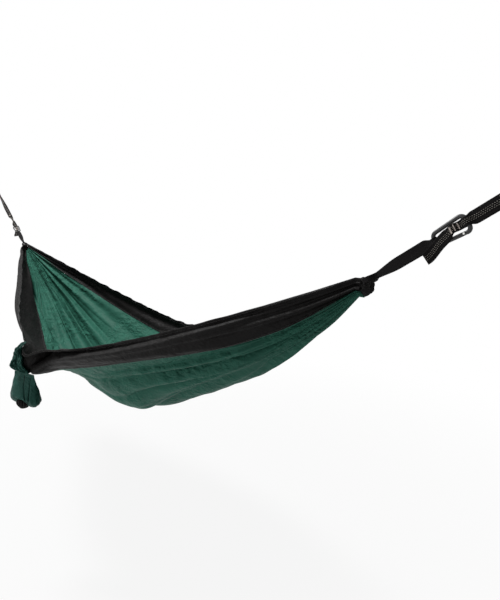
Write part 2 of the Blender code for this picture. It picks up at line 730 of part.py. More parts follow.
def gate_mesh():
    """The gate: a round bar with rounded ends, slotted for both tongues and bored for its spring."""
    reach = gate_frame()[1]
    length = reach + 2 * GATE_RADIUS
    bar = cylinder(GATE_RADIUS, length, 28)
    bar.transform(Matrix.Translation((-GATE_RADIUS, 0, 0)))
    holder = bpy.data.objects.new("gate", bar)
    CUTTERS.objects.link(holder)
    tall = 2 * GATE_RADIUS
    inset = 0.04 * MM
    ends = block(
        (-GATE_RADIUS + inset, -GATE_RADIUS - inset, -tall),
        (reach + GATE_RADIUS - inset, GATE_RADIUS + inset, tall),
        GATE_RADIUS * 0.98,
    )
    boolean(holder, "INTERSECT", tool(ends))
    half = GATE_SLOT / 2
    hinge_slot = block((-tall, -tall, -half), (SLOT_REACH, tall, half))
    latch_slot = block((reach - SLOT_REACH, -tall, -half), (reach + tall, tall, half))
    boolean(holder, "DIFFERENCE", tool(hinge_slot))
    boolean(holder, "DIFFERENCE", tool(latch_slot))
    bore = cylinder(GATE_BORE_RADIUS, GATE_BORE_DEPTH + half, 20)
    boolean(holder, "DIFFERENCE", tool(bore, Matrix.Translation((SLOT_REACH - half, 0, 0))))
    for place_x, radius in ((0, RIVET_RADIUS), (reach, LATCH_PIN_RADIUS)):
        hole = cylinder(radius + PIN_CLEARANCE, 2 * tall, 20)
        boolean(holder, "DIFFERENCE", tool(hole, Matrix.Translation((place_x, 0, 0)) @ along_z(2 * tall)))
    return taken_mesh(holder)


def pin_mesh(radius, head_radius):
    """A rivet through the gate, with a low head on each side: a profile turned about its axis."""
    half = GATE_RADIUS + GAP
    edge = 0.25 * MM
    outline = (
        (0, half + RIVET_HEAD_HEIGHT), (head_radius - edge, half + RIVET_HEAD_HEIGHT),
        (head_radius, half + RIVET_HEAD_HEIGHT - edge), (head_radius, half), (radius, half),
        (radius, -half), (head_radius, -half), (head_radius, -half - RIVET_HEAD_HEIGHT + edge),
        (head_radius - edge, -half - RIVET_HEAD_HEIGHT), (0, -half - RIVET_HEAD_HEIGHT),
    )
    return turned(outline, 20)


def turned(outline, steps):
    """A closed shape from (radius, height) points, turned about Z by a Screw modifier."""
    shape = bmesh.new()
    line = [shape.verts.new((radius, 0, height)) for radius, height in outline]
    for here, there in zip(line, line[1:]):
        shape.edges.new((here, there))
    holder = bpy.data.objects.new("turned", mesh_from(shape))
    CUTTERS.objects.link(holder)
    spin = holder.modifiers.new("turn", "SCREW")
    spin.steps = spin.render_steps = steps
    spin.use_merge_vertices = True
    spin.merge_threshold = 1e-6
    spin.use_normal_calculate = True
    mesh = taken_mesh(holder)
    mesh.shade_smooth()
    mesh.set_sharp_from_angle(angle=math.radians(40))
    return mesh


def coil_mesh(radius, wire, start, length, turns):
    """A coil spring along X, from its start, as one unbroken tube."""
    angle = np.linspace(0, 2 * math.pi * turns, 9 * turns + 1)
    run = start + wire + (length - 2 * wire) * angle / angle[-1]
    points = np.stack([run, radius * np.cos(angle), radius * np.sin(angle)], -1)
    pitch = (length - 2 * wire) / turns
    print(f"least gap between the spring's turns: {(pitch - 2 * wire) / MM:.2f} mm")
    return tube(points, wire, 1)


def plunger_mesh():
    """The push rod that the gate's spring presses against the hinge tongue."""
    tip = TONGUE_RADIUS + GAP
    head_back = SLOT_REACH + GAP + PLUNGER_HEAD
    stem = 0.9 * MM
    head = GATE_BORE_RADIUS - GAP
    outline = (
        (0, head_back + 6 * MM), (stem, head_back + 6 * MM), (stem, head_back),
        (head, head_back), (head, head_back - PLUNGER_HEAD), (stem, head_back - PLUNGER_HEAD),
        (stem, tip), (0, tip),
    )
    mesh = turned(outline, 14)
    mesh.transform(Matrix.Rotation(math.pi / 2, 4, "Y"))
    return mesh


def make_carabiners(parent):
    body, gate = carabiner_body_mesh(), gate_mesh()
    rivet = pin_mesh(RIVET_RADIUS, RIVET_HEAD_RADIUS)
    latch_pin = pin_mesh(LATCH_PIN_RADIUS, RIVET_HEAD_RADIUS * 0.8)
    coil_start = SLOT_REACH + GAP + PLUNGER_HEAD + GAP
    coil_end = SLOT_REACH + GATE_BORE_DEPTH - GAP
    spring = coil_mesh(
        GATE_BORE_RADIUS - GAP - GATE_SPRING_WIRE, GATE_SPRING_WIRE, coil_start,
        coil_end - coil_start, GATE_SPRING_TURNS,
    )
    plunger = plunger_mesh()
    frame, reach = gate_frame()
    for side in ("right", "left"):
        start = Matrix.Translation((CARABINER_START, 0, 0))
        twist = Matrix.Rotation(CARABINER_TWIST[side], 4, "X")
        held = empty(side + "_carabiner", parent, side_matrix(side) @ twist @ start)
        hinge = empty(side + "_gate_hinge", held, frame)
        place(side + "_carabiner_body", body, "black_anodised", held)
        place(side + "_gate", gate, "black_anodised", hinge)
        place(side + "_gate_rivet", rivet, "bright_steel", hinge)
        at_latch = Matrix.Translation((reach, 0, 0))
        place(side + "_latch_pin", latch_pin, "bright_steel", hinge, at_latch)
        place(side + "_gate_spring", spring, "bright_steel", hinge)
        place(side + "_gate_plunger", plunger, "bright_steel", hinge)


def flap_back(x):
    """Y of the flap's back at each X, a gap outside whatever bulges most of the near side.

    The cloth is straight between its rows, so it is read from them.
    """
    rows = row_place(np.linspace(-1, 1, BED_ROWS + 1))
    across = np.linspace(0, NEAR_SEAM_SHARE, 12)
    side = bed(rows[:, None], across)[..., 1]
    lines = [np.interp(x, rows * bed_half_length(), line) for line in side.T]
    return np.min(lines, axis=0) - HEM_THICKNESS / 2 - 3 * GAP


def flap_top():
    """Z of the flap's top, a little above the near hem's edge."""
    place = np.array(FLAP_TOP_PLACE / bed_half_length())
    return smooth_bed(place, np.array(0.0))[0][2] + FLAP_ABOVE


def make_flap(hammock):
    """The crumpled flap, whose back lies against the side panel's outside."""
    turn = np.linspace(0, 2 * math.pi, 26, endpoint=False)
    rings = []
    for share in (0, 0.03, 0.12, 0.25, 0.38, 0.5, 0.62, 0.75, 0.87, 0.96, 1):
        round_off = math.sqrt(1 - 0.85 * abs(2 * share - 1) ** 6)
        crumple = 1 + 0.12 * math.sin(9 * share + 0.6)
        grown = float(ease(share, 0, 0.7))
        width = FLAP_TOP_HALF_WIDTH + (FLAP_HALF_WIDTH - FLAP_TOP_HALF_WIDTH) * grown
        depth = FLAP_HALF_DEPTH * (0.5 + 0.5 * grown) * round_off * crumple
        fold = 1 + 0.10 * np.cos(5 * turn + 7 * share)
        middle = FLAP_TOP_PLACE + (FLAP_LOW_PLACE - FLAP_TOP_PLACE) * share
        x = middle + width * round_off * fold * np.cos(turn)
        y = flap_back(x) - depth * fold * (1 - np.sin(turn))
        rings.append(np.stack([x, y, 0 * x + flap_top() - share * FLAP_HEIGHT], -1))
    place("sack_flap", loft(rings), "green_cloth", hammock)


def sack_pivot_matrix():
    """The line on which the bag swings, just under the flap."""
    x = np.array(SACK_PLACE)
    y = flap_back(x) - BEAD_RADIUS
    place_at = Matrix.Translation((x, y, flap_top() - FLAP_HEIGHT - GAP - BEAD_RADIUS))
    return place_at @ Matrix.Rotation(SACK_TURN, 4, "Z")


def sack_profile(share):
    """Half width, half depth and height of the bag, from its top line at 0 to its mouth at 1."""
    swell = ease(share, 0, 0.42) * 0.8 + ease(share, 0.3, 0.85) * 0.2
    close = np.sqrt(1 - np.clip((share - 0.72) / 0.285, 0, 1) ** 2)
    half_width = SACK_TOP_HALF_WIDTH + (SACK_HALF_WIDTH - SACK_TOP_HALF_WIDTH) * swell
    half_depth = BEAD_RADIUS + (SACK_HALF_DEPTH - BEAD_RADIUS) * swell
    return half_width * close, half_depth * close, -SACK_HEIGHT * share


def make_sack(pivot):
    """The bag, an open shell, and the gathered casing that closes its mouth."""
    turn = np.linspace(0, 2 * math.pi, 30, endpoint=False)
    rings = []
    for lean in (80, 45, 15):
        tilt = math.radians(lean)
        x = (SACK_TOP_HALF_WIDTH - BEAD_RADIUS * (1 - math.cos(tilt))) * np.cos(turn)
        y = BEAD_RADIUS * math.cos(tilt) * np.sin(turn)
        rings.append(np.stack([x, y, 0 * x + BEAD_RADIUS * math.sin(tilt)], -1))
    outside = np.concatenate([np.linspace(0, 0.8, 12), [0.86, 0.92, 0.96, 0.985, 0.998]])
    inside = outside[outside > SACK_SEAM][::-1]
    walls = np.repeat([0.0, SACK_WALL], [len(outside), len(inside)])
    for share, wall in zip(np.concatenate([outside, inside]), walls):
        half_width, half_depth, height = sack_profile(np.array(share))
        fold = 1 + 0.06 * ease(share, 0.1, 0.5) * np.cos(7 * turn + 2 * share)
        squared = np.abs(np.cos(turn)) ** 0.85 * np.sign(np.cos(turn))
        x = (half_width * fold - wall) * squared
        y = (half_depth * fold - wall) * np.sin(turn)
        rings.append(np.stack([x, y, 0 * x + height], -1))
    place("stuff_sack", loft(rings), "green_cloth", pivot)

    mouth = -SACK_HEIGHT * 0.998 - GAP
    rings = []
    for share, size in ((0, 0.45), (0.15, 0.85), (0.45, 1.0), (0.8, 0.8), (1, 0.5)):
        pleat = 1 + 0.12 * np.cos(CASING_PLEATS * turn) * (0 < share < 1)
        x = CASING_RADIUS * size * pleat * np.cos(turn)
        y = 0.75 * CASING_RADIUS * size * pleat * np.sin(turn)
        rings.append(np.stack([x, y, 0 * x + mouth - share * CASING_HEIGHT], -1))
    place("sack_mouth_casing", loft(rings), "black_cloth", pivot)


def main():
    clear_scene()
    origin = empty("hammock_origin", None, Matrix.Translation(-eye_centre("right")))
    make_bed(origin)
    for side in ("right", "left"):
        make_end_channel(side, origin)
        make_webbing_loop(side, origin)
        make_tree_strap(side, origin)
        make_strap_eye(side, origin)
    make_carabiners(origin)
    make_flap(origin)
    make_sack(empty("sack_pivot", origin, sack_pivot_matrix()))
    cut = side_matrix("right") @ Vector((cut_distance("right"), 0, 0))
    empty("swing_line", origin, Matrix.Translation(cut))


clear_scene()
PARTS = new_collection("hammock")
CUTTERS = new_collection("cutters")
CUTTERS.hide_render = True
main()
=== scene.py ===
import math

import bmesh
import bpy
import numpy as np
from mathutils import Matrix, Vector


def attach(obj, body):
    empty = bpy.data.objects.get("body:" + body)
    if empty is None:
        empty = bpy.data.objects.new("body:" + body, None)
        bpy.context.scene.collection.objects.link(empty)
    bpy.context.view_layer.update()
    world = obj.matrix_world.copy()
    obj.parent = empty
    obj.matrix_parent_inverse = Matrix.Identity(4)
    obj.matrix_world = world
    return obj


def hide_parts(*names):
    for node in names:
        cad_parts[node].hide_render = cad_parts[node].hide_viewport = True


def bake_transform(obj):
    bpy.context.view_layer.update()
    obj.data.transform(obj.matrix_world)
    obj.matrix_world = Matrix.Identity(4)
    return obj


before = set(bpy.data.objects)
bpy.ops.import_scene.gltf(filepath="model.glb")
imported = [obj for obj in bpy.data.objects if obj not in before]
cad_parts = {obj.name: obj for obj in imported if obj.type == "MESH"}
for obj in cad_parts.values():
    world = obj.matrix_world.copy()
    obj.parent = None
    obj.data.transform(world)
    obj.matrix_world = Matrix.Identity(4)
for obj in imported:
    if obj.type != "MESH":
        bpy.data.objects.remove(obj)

# A gathered-end camping hammock: pleated nylon between two webbing tree straps.
#
# The cloth is worked out on grids. Along the bed a place runs from -1 at the left gather to 1 at
# the right one, and across it from 0 at the near hem to 1 at the far hem. The ridge frame has
# its X along the hammock, the gathers at Z = 0 and its origin half way between them. ORIGIN
# moves it to the shared frame, whose origin is in the right strap's eye.

bl_info = {
    "name": "Gathered-End Hammock",
    "version": (1, 0, 0),
    "blender": (4, 5, 0),
    "location": "3D View > Sidebar > Hammock",
    "description": "Dresses the hammock's solids in pleated nylon, sewn webbing and anodised bar",
    "category": "Add Mesh",
}

MM = 0.001
GAP = 0.3 * MM  # left between two pieces that touch
ORIGIN = np.array((-2.059223, 0.0, -0.395574))

# Bed section and sag, as in the part's source
RIDGE_LENGTH = 2.786
RISE = {"right": math.radians(30.7), "left": math.radians(28.9)}
HANDLES_Y = (-0.344, -0.322, 0.070, 0.400, 0.380)
HANDLES_Z = (-0.362, -0.415, -0.931, -0.460, -0.353)
SAG_POWERS = {"left": (1.37, 1.86, 1.50, 1.83, 1.19), "right": (1.37, 1.86, 1.92, 1.83, 1.19)}
SEAM_SHIFTS = (0.225, 0.020, 0.349, -0.402, 0.054, 0.068)
MID_ROUNDING = 0.06  # of the sag's peak in the middle of the bed
SEAMS = (0.0, 0.028, 0.178, 0.862, 0.972, 1.0)  # hem, side, centre, side and hem, across
BED_HALF = RIDGE_LENGTH / 2 - 24 * MM - 0.8 * MM  # up to the end channels
# The half ellipse that the section shrinks to at the gathers
NECK_HALF_WIDTH = 14 * MM
NECK_TOP = 6 * MM
NECK_DEPTH = 42 * MM
# At the stuff sack: X, reach along X, and how far the hem stands out, the panel swells and
# both hang down. The hem's left part is taken in round X = LEFT_HEM_X.
CORNER_PLACE = -0.012
CORNER_REACH = 0.095
CORNER_OUT = 26 * MM
CORNER_BELLY = 55 * MM
CORNER_DOWN = 38 * MM
LEFT_HEM_X = -0.82
LEFT_HEM_REACH = 0.34
LEFT_HEM_IN = 22 * MM
# Local sag and tuck of the belly: X, reach along X, share of the section, reach across, height
BELLS = (
    (0.330, 0.16, 0.415, 0.16, -48 * MM), (0.150, 0.12, 0.270, 0.06, 17 * MM),
    (0.750, 0.28, 0.530, 0.16, 20 * MM),
)
# Creases that fan out from the gathers: place across, slant along the bed, depth (inwards where
# it is negative), half width (the steep side lies at the higher share, or at the lower one where
# it is negative), and start and end along the bed
CREASES = (
    (0.426, 0.290, 2.4, -0.016, -2, -0.05), (0.404, -0.146, 2.3, 0.014, -2, -0.10),
    (0.504, -0.175, 2.4, 0.014, -2, -0.05), (0.531, -0.154, 1.7, 0.010, -2, -0.20),
    (0.700, -0.030, 0.5, 0.012, -2, -0.30), (0.052, 0.000, 1.0, 0.010, -2, -0.20),
    (0.330, 0.160, 1.7, -0.012, -2, -0.30), (0.640, -0.080, 1.2, 0.010, -2, -0.40),
    (0.212, 0.060, -1.3, 0.010, 0.30, 2), (0.215, 0.190, -1.6, 0.013, -0.15, 2),
    (0.285, 0.090, -1.1, 0.012, 0.45, 2), (0.300, 0.210, -1.8, 0.015, -0.10, 2),
    (0.330, -0.180, -1.1, 0.012, -0.35, 0.30), (0.400, 0.120, -0.9, 0.014, 0.20, 2),
    (0.440, 0.150, -0.9, 0.015, 0.05, 2), (0.250, -0.060, -1.4, 0.013, -0.40, 0.15),
    (0.560, 0.040, 1.0, 0.010, 0.1, 2), (0.640, 0.020, 1.1, 0.010, 0.1, 2),
    (0.730, 0.010, 0.7, 0.010, 0.0, 2), (0.800, 0.000, 0.6, 0.009, -0.1, 2),
)
FOLD_COUNT = 10
FOLD_DEPTH = 15 * MM
FOLD_TIGHTEST = 1.9 * MM  # radius at a fold's crest
FULLEST = 5.5  # times that the pleats gather the cloth, at most
PLEAT_HIGHEST = 10 * MM

# Webbing and carabiner places, as in the part's source but for the strap's tail. Distances run
# up the strap from its gather, a bow is the middle of the bar at an end of the carabiner, and a
# lift is from the middle of two plies.
WEBBING = 1.5 * MM
PLY_LIFT = 0.95 * MM
WIRE = 4.25 * MM  # the bar's radius
BOW_LIFT = WIRE + GAP + WEBBING / 2
CARABINER_START = 0.172
CARABINER_LENGTH = 80 * MM
LOOP_BOW = CARABINER_START + WIRE
STRAP_BOW = CARABINER_START + CARABINER_LENGTH - WIRE
SWING_HEIGHT = 0.372
UPRIGHT = math.radians(90)
CARABINER_TWIST = {"right": math.radians(92), "left": math.radians(154)}
STRAP_TURN = {"right": 0.0, "left": math.radians(-180)}
TREE_TWIST = {"right": UPRIGHT, "left": UPRIGHT - math.pi}
CHANNEL_HALF_WIDTH = 13.5 * MM
CHANNEL_HALF_HEIGHT = 21 * MM
LOOP_START = -3 * MM
LOOP_CORNER = 1.6 * MM
LOOP_SIDE_LIFT = CHANNEL_HALF_WIDTH * 1.07 + 1.6 * MM
LEG_START = 9 * MM
LEGS_MEET = 30 * MM
STRAP_WIDTH = 26 * MM
STRAP_BOW_WIDTH = 17 * MM
TAIL_END = CARABINER_START - 26 * MM
TAIL_LIFT = 8.8 * MM  # of the tail in front of the carabiner's plane
TAIL_CURL = 3 * MM
TAIL_CURL_TURN = math.radians(14)
EYE_HALF_GAP = 11 * MM
TACKS_BACK = np.array((17.5, 24, 30.5, -70, -115, -160)) * MM  # from the strap's bow

SACK_HEIGHT = 0.130
SACK_TURN = math.radians(22)
SACK_LINE = np.array((-0.018, -0.372466, -0.481006)) + ORIGIN  # that the bag hangs from
FLAP_START = -0.092  # X of its middle at the top
FLAP_SLANT = 64 * MM
FLAP_HEIGHT = 117 * MM

# The cloth as cut: width of the centre panel, of a side panel and of a hem, and length
CENTRE_CUT = 0.80
SIDE_CUT = 0.16
HEM_CUT = 0.033
LENGTH_CUT = 3.05
FULL_CUT = CENTRE_CUT + 2 * SIDE_CUT + 2 * HEM_CUT

# How it is sewn, in shares across. Rows of thread run on both sides of a seam's middle.
HEM_STITCH = 0.0235  # from the cloth's edge
SEAM_HALF = 0.0048
SEAM_ROWS = np.array((-0.0030, 0.0030))
PANEL_OVERLAP = 0.002
BAND_HALF_THICKNESS = 1.15 * MM
THREAD_LIFT = 1.3 * MM
THREAD_PITCH = 4.2 * MM

# The stage. Lamps: name, place, aim, size and share of the key light's power
LAMPS = (
    ("key_lamp", (-1.7, -0.8, 2.9), (-0.4, 0, -0.4), 0.8, 1.0),
    ("fill_lamp", (0.1, -2.1, -1.15), (0.2, 0, -0.6), 1.8, 0.10),
)
CAMERA_PLACE = (2.0425, -0.8614, 0.1031)
CAMERA_TURNS = (math.radians(140.87), math.radians(-8.08), math.radians(0.68))
CAMERA_LENS = 28.8  # mm, for a picture of 500 by 600


def length_property(name, description, default, low, high):
    """A length in metres between two limits."""
    return bpy.props.FloatProperty(
        name=name, description=description, default=default, min=low, max=high,
        subtype="DISTANCE", unit="LENGTH",
    )


def colour_property(name, description, default):
    """A linear colour of three numbers from 0 to 1."""
    return bpy.props.FloatVectorProperty(
        name=name, description=description, default=default, min=0, max=1, size=3,
        subtype="COLOR",
    )


class ClothSettings(bpy.types.PropertyGroup):
    """Sizes and colours of the bed and the stuff sack."""

    green: colour_property("Green", "Colour of the centre panel", (0.030, 0.122, 0.087))
    black: colour_property("Black", "Colour of the side panels and hems", (0.0092, 0.0086, 0.0085))
    # The sack's green is the bed's green made darker: painted shade for the light that is partly
    # kept off the stuff sack.
    sack: colour_property("Sack green", "Colour of the stuff sack", (0.019, 0.066, 0.053))
    thread: colour_property("Thread", "Colour of the seams' thread", (0.030, 0.030, 0.028))
    pleats: bpy.props.IntProperty(
        name="Pleats", description="Fine pleats across the whole cloth", default=24, min=8, max=40
    )
    crinkle: length_property("Crinkle", "Height of the soft crinkles", 2.4 * MM, 0, 6 * MM)
    crease: length_property("Crease", "Depth of the creases near the gathers", 24 * MM, 0, 40 * MM)
    ruffle: length_property("Ruffle", "Height of the hems' ruffles", 4.5 * MM, 0, 9 * MM)
    ledge: length_property("Ledge", "Bulge of the side panels by their hems", 15 * MM, 0, 25 * MM)
    cloth_thickness: length_property(
        "Cloth thickness", "Thickness of one layer", 0.7 * MM, 0.2 * MM, 2 * MM
    )


class SuspensionSettings(bpy.types.PropertyGroup):
    """Sizes and colours of the straps, loops and carabiners."""

    webbing: colour_property("Webbing", "Colour of the webbing", (0.0060, 0.0053, 0.0056))
    stitching: colour_property("Stitching", "Colour of the stitched rows", (0.27, 0.25, 0.215))
    tack: colour_property("Bar tacks", "Colour of the straps' bar tacks", (0.64, 0.56, 0.51))
    anodising: colour_property("Anodising", "Colour of the carabiners", (0.011, 0.011, 0.012))
    steel: colour_property("Steel", "Colour of the pins and springs", (0.60, 0.60, 0.58))
    stitch_pitch: length_property(
        "Stitch pitch", "From one stitch to the next", 4.4 * MM, 2 * MM, 10 * MM
    )
    row_pitch: length_property("Row pitch", "Between stitched rows", 3.4 * MM, 2 * MM, 8 * MM)


class StageSettings(bpy.types.PropertyGroup):
    """The floor, the lights and the camera."""

    floor_drop: length_property("Floor", "Depth of the floor below the gathers", 1.30, 0.8, 3)
    sky: bpy.props.FloatProperty(
        name="Sky", description="Strength of the even light from all round", default=0.19,
        min=0, max=3,
    )
    key: bpy.props.FloatProperty(
        name="Key light", description="Power of the large lamp above", default=165,
        min=0, max=2000, subtype="POWER",
    )


# Numbers


def ease(x, low, high):
    """0 below low, 1 above high, and the smooth step 3t^2 - 2t^3 between them."""
    share = np.clip((np.asarray(x, float) - low) / (high - low), 0, 1)
    return share * share * (3 - 2 * share)


def bump(x, middle, width):
    """A bell: e to the minus square of the distance from the middle over the width."""
    return np.exp(-(((np.asarray(x, float) - middle) / width) ** 2))


def bezier(share, handles):
    """The Bezier sum of the handles, each weighted by its Bernstein polynomial."""
    degree = len(handles) - 1
    return sum(
        math.comb(degree, k) * (1 - share) ** (degree - k) * share**k * handles[k]
        for k in range(degree + 1)
    )


def waves(seed, count, low, high, *coordinates):
    """A sum of sine waves, each in a random direction over the coordinates, scaled to about 1.

    Frequencies lie between low and high in turns per unit, and higher ones are weaker.
    """
    rng = np.random.default_rng(seed)
    total = 0.0
    for _ in range(count):
        direction = rng.normal(size=len(coordinates))
        direction /= np.linalg.norm(direction)
        frequency = low * (high / low) ** rng.random()
        phase = rng.random() * 2 * math.pi
        turn = sum(d * c for d, c in zip(direction, coordinates)) * frequency * 2 * math.pi
        total = total + np.sin(turn + phase) * (low / frequency) ** 0.5
    return total / math.sqrt(count)


# The bed's surface


def smooth_bed(along, across):
    """The bed without folds.

    The place across is first shifted near the seam, by a Bezier sum along the bed. Across, the
    section is a Bezier curve. Along, each of its points sags by 1 minus a power of the place
    along the bed, and at the gathers the section shrinks to a half ellipse. At the stuff sack a
    bell along the bed pulls the near side out and down, another takes in the hem's left part,
    and bells along times bells across shape the belly.
    """
    rounding = math.hypot(1, MID_ROUNDING) - MID_ROUNDING
    run = (np.hypot(along, MID_ROUNDING) - MID_ROUNDING) / rounding
    shift = bezier((np.clip(along, -1, 1) + 1) / 2, SEAM_SHIFTS)
    across = across + shift * ease(across, SEAMS[1], SEAMS[2]) * (1 - ease(across, SEAMS[2], 0.62))
    left, right = (bezier(across, SAG_POWERS[side]) for side in ("left", "right"))
    drop = 1 - np.clip(run, 1e-9, 1) ** np.where(along > 0, right, left)
    turn = math.pi * across
    x = BED_HALF * along + 0 * across
    y = drop * bezier(across, HANDLES_Y) - (1 - drop) * NECK_HALF_WIDTH * np.cos(turn)
    z = drop * bezier(across, HANDLES_Z) + (1 - drop) * (NECK_TOP - NECK_DEPTH * np.sin(turn))
    pull = bump(x, CORNER_PLACE, CORNER_REACH)
    swell = CORNER_BELLY * bump(across, 0.135, 0.06)
    y = y - pull * (CORNER_OUT * (1 - ease(across, 0, 0.2)) + swell)
    z = z - pull * CORNER_DOWN * (1 - ease(across, 0.13, 0.26))
    taken_in = bump(x, LEFT_HEM_X, LEFT_HEM_REACH) * (1 - ease(across, 0.0, 0.15))
    y = y + LEFT_HEM_IN * taken_in
    for place, reach, share, share_reach, height in BELLS:
        z = z + height * bump(x, place, reach) * bump(across, share, share_reach)
    return np.stack([x, y, z], -1), drop


def bed_normal(along, across):
    """The unit normal into the bed's hollow, and the bed's length for each unit across."""
    step = 1e-4
    lengthwise = smooth_bed(along + step, across)[0] - smooth_bed(along - step, across)[0]
    crosswise = smooth_bed(along, across + step)[0] - smooth_bed(along, across - step)[0]
    normal = np.cross(lengthwise, crosswise)
    normal /= np.linalg.norm(normal, axis=-1, keepdims=True) + 1e-12
    return normal, np.linalg.norm(crosswise, axis=-1) / (2 * step)


def main_folds(along, across, width, drop, inside):
    """Ten sine waves across that fan out from the gathers, no sharper than the cloth can turn."""
    wave = width / FOLD_COUNT
    sharpest = wave**2 / (4 * math.pi**2 * FOLD_TIGHTEST)
    wanted = FOLD_DEPTH * (0.15 + 0.85 * np.abs(along) ** 1.5) * drop**0.5
    depth = wanted * sharpest / (wanted + sharpest)
    slant = 0.35 * np.sin(2.3 * along + 1.1)
    return depth * inside * np.sin(2 * math.pi * (FOLD_COUNT * across + slant))


def fine_pleats(along, across, width, inside, count):
    """Sine waves whose height takes up the cloth that the narrowing section leaves over.

    The height is a quarter of a wave times the root of the fullness squared less 1. Slow sine
    waves warp the pleats' places, random waves make them patchy, and they are weaker in a patch
    at the far side's left.
    """
    fullness = np.minimum(FULL_CUT / width, FULLEST)
    pleat = width / (4 * count) * np.sqrt(np.maximum(fullness**2 - 1, 0))
    pleat = np.minimum(pleat, PLEAT_HIGHEST) * (0.05 + 0.95 * ease(np.abs(along), 0.45, 0.95))
    warped = across + 0.010 * np.sin(19 * across + 0.8) + 0.006 * np.sin(43 * across + 2.4 + along)
    patchy = ease(waves(9, 6, 1.0, 2.5, across * 5, along * 0.8), -0.7, 0.9)
    calm = ease(-along, 0.0, 0.3) * ease(across, 0.60, 0.68) * (1 - ease(across, 0.84, 0.88))
    pleat = pleat * (0.25 + 0.85 * patchy) * (0.35 + 0.65 * inside) * (1 - 0.6 * calm)
    turn = count * warped + 0.5 * np.sin(3.1 * along + 7 * across)
    return pleat * np.sin(2 * math.pi * turn)


def creases(along, across, width, drop, depth):
    """Grooves along slanting lines: e to minus the rounded distance from the line.

    The distance is in half widths, and on the gentle side 0.35 of that counts. Smooth steps
    fade each groove in at its start and out at its end, and all grow towards the gathers.
    """
    grooves = 0.0
    for place, slope, share, half_width, start, end in CREASES:
        line = place + slope * along + 0.006 * np.sin(5 * along + 30 * place)
        gap = (across - line) / half_width
        groove = np.exp(-np.sqrt((gap * np.where(gap > 0, 1.0, 0.35)) ** 2 + 0.06)) * 1.28
        shown = ease(along, start - 0.2, start + 0.2) * (1 - ease(along, end - 0.2, end + 0.2))
        grooves = grooves + share * groove * shown
    growth = 0.30 + 0.70 * ease(np.abs(along), 0.0, 0.6)
    return depth * grooves * growth * np.minimum(1, width / 0.55) * drop**0.35


def crinkles(along, across, drop, inside, size):
    """Two sums of random waves over the cut cloth, and 0.55 less the size of a third's value."""
    s, t = BED_HALF * along, FULL_CUT * across
    soft = waves(3, 14, 1.2, 9.0, s * 0.35, t) + 0.45 * waves(5, 18, 5.0, 16.0, s, t)
    ridged = 0.55 - np.abs(waves(6, 16, 4.0, 11.0, s * 0.6 + t * 0.4, t - s * 0.3))
    return size * (soft + 1.1 * ridged) * (0.35 + 0.65 * inside) * drop**0.5


def ledges(along, across, drop, size):
    """How far the side panels stand out below their hems.

    From the near hem the cloth falls back by a power of the way to the ledge, most in the
    pocket beside the stuff sack. A sharp smooth step ends that, and a soft roll begins, which
    dies away as a bell. At the sack a strip stands out instead. Bells also make the far ledge
    and a puff beside the left gather.
    """
    ledge_place = 0.040 + 0.095 * bump(along, -0.04, 0.21) + 0.05 * ease(along, 0.72, 0.95)
    below = across - ledge_place
    rise = 0.015 + 0.020 * ease(along, 0.2, 0.6)
    roll = (1.2 + 0.5 * ease(along, 0.2, 0.6)) * ease(below / rise, -0.05, 1)
    roll = roll * bump(np.maximum(below - rise, 0), 0, 0.065)
    recess = np.clip((across / ledge_place - 0.22) / 0.75, 0, 1) ** 1.3
    recess = recess * (1 - ease(below, -0.003, 0.003))
    pocket = ease(along, 0.0, 0.045) * (1 - ease(along, 0.14, 0.60))
    pocket = (3.0 + 0.7 * bump(along, 0.03, 0.10)) * pocket
    at_sack = bump(along, -0.035, 0.05)
    strip = at_sack * ease(across, 0.0, 0.03) * (1 - ease(across, 0.13, 0.20))
    puff = bump(along, -0.955, 0.035) * (1 - ease(across, 0.02, 0.14))
    raised = roll * (1 - 0.6 * at_sack) + 0.8 * bump(across, 0.93, 0.030) + 0.55 * strip
    raised = raised - (0.4 * (1 - at_sack) + pocket) * recess
    return size * (drop**0.8 * raised + 0.8 * puff)


def ruffles(along, across, drop, size):
    """Random waves along both hems, which fade towards the side panels."""
    s = BED_HALF * along
    edge = np.maximum(1 - ease(across, 0.0, 0.05), 1 - ease(1 - across, 0.0, 0.05))
    other_hem = 7.0 * (across > 0.5)
    rows = waves(11, 9, 5.0, 17.0, s + other_hem) + 0.2 * waves(12, 6, 20.0, 34.0, s)
    return size * rows * (0.25 + 0.75 * edge) * drop**0.7 * (edge > 0)


def bed_surface(along, across, settings, offset=0.0):
    """The bed's cloth: the smooth bed, moved along its normal by all its folds and an offset."""
    along, across = np.broadcast_arrays(np.asarray(along, float), np.asarray(across, float))
    points, drop = smooth_bed(along, across)
    normal, width = bed_normal(along, across)
    inside = ease(across, 0.02, 0.16) * ease(1 - across, 0.02, 0.14)
    height = main_folds(along, across, width, drop, inside)
    height = height + fine_pleats(along, across, width, inside, settings.pleats)
    height = height - creases(along, across, width, drop, settings.crease)
    height = height + crinkles(along, across, drop, inside, settings.crinkle)
    height = height - ledges(along, across, drop, settings.ledge)
    height = height + ruffles(along, across, drop, settings.ruffle)
    return points + normal * (height + offset)[..., None] + ORIGIN


def bed_places(rows, reach=1.0):
    """Places along the bed, closer together towards both gathers."""
    even = np.linspace(-1, 1, rows + 1)
    return reach * (0.45 * even + 0.55 * np.sin(math.pi / 2 * even))


# Frames of the suspension


def side_matrix(side):
    """Frame of one suspension: X up along the strap, Y level across it, origin at its gather."""
    turned = Matrix() if side == "right" else Matrix.Rotation(math.pi, 4, "Z")
    gather = Matrix.Translation((RIDGE_LENGTH / 2, 0, 0))
    return Matrix.Translation(ORIGIN) @ turned @ gather @ Matrix.Rotation(-RISE[side], 4, "Y")


def level_matrix(side):
    """Frame of one gather, with X level towards the tree."""
    return side_matrix(side) @ Matrix.Rotation(RISE[side], 4, "Y")


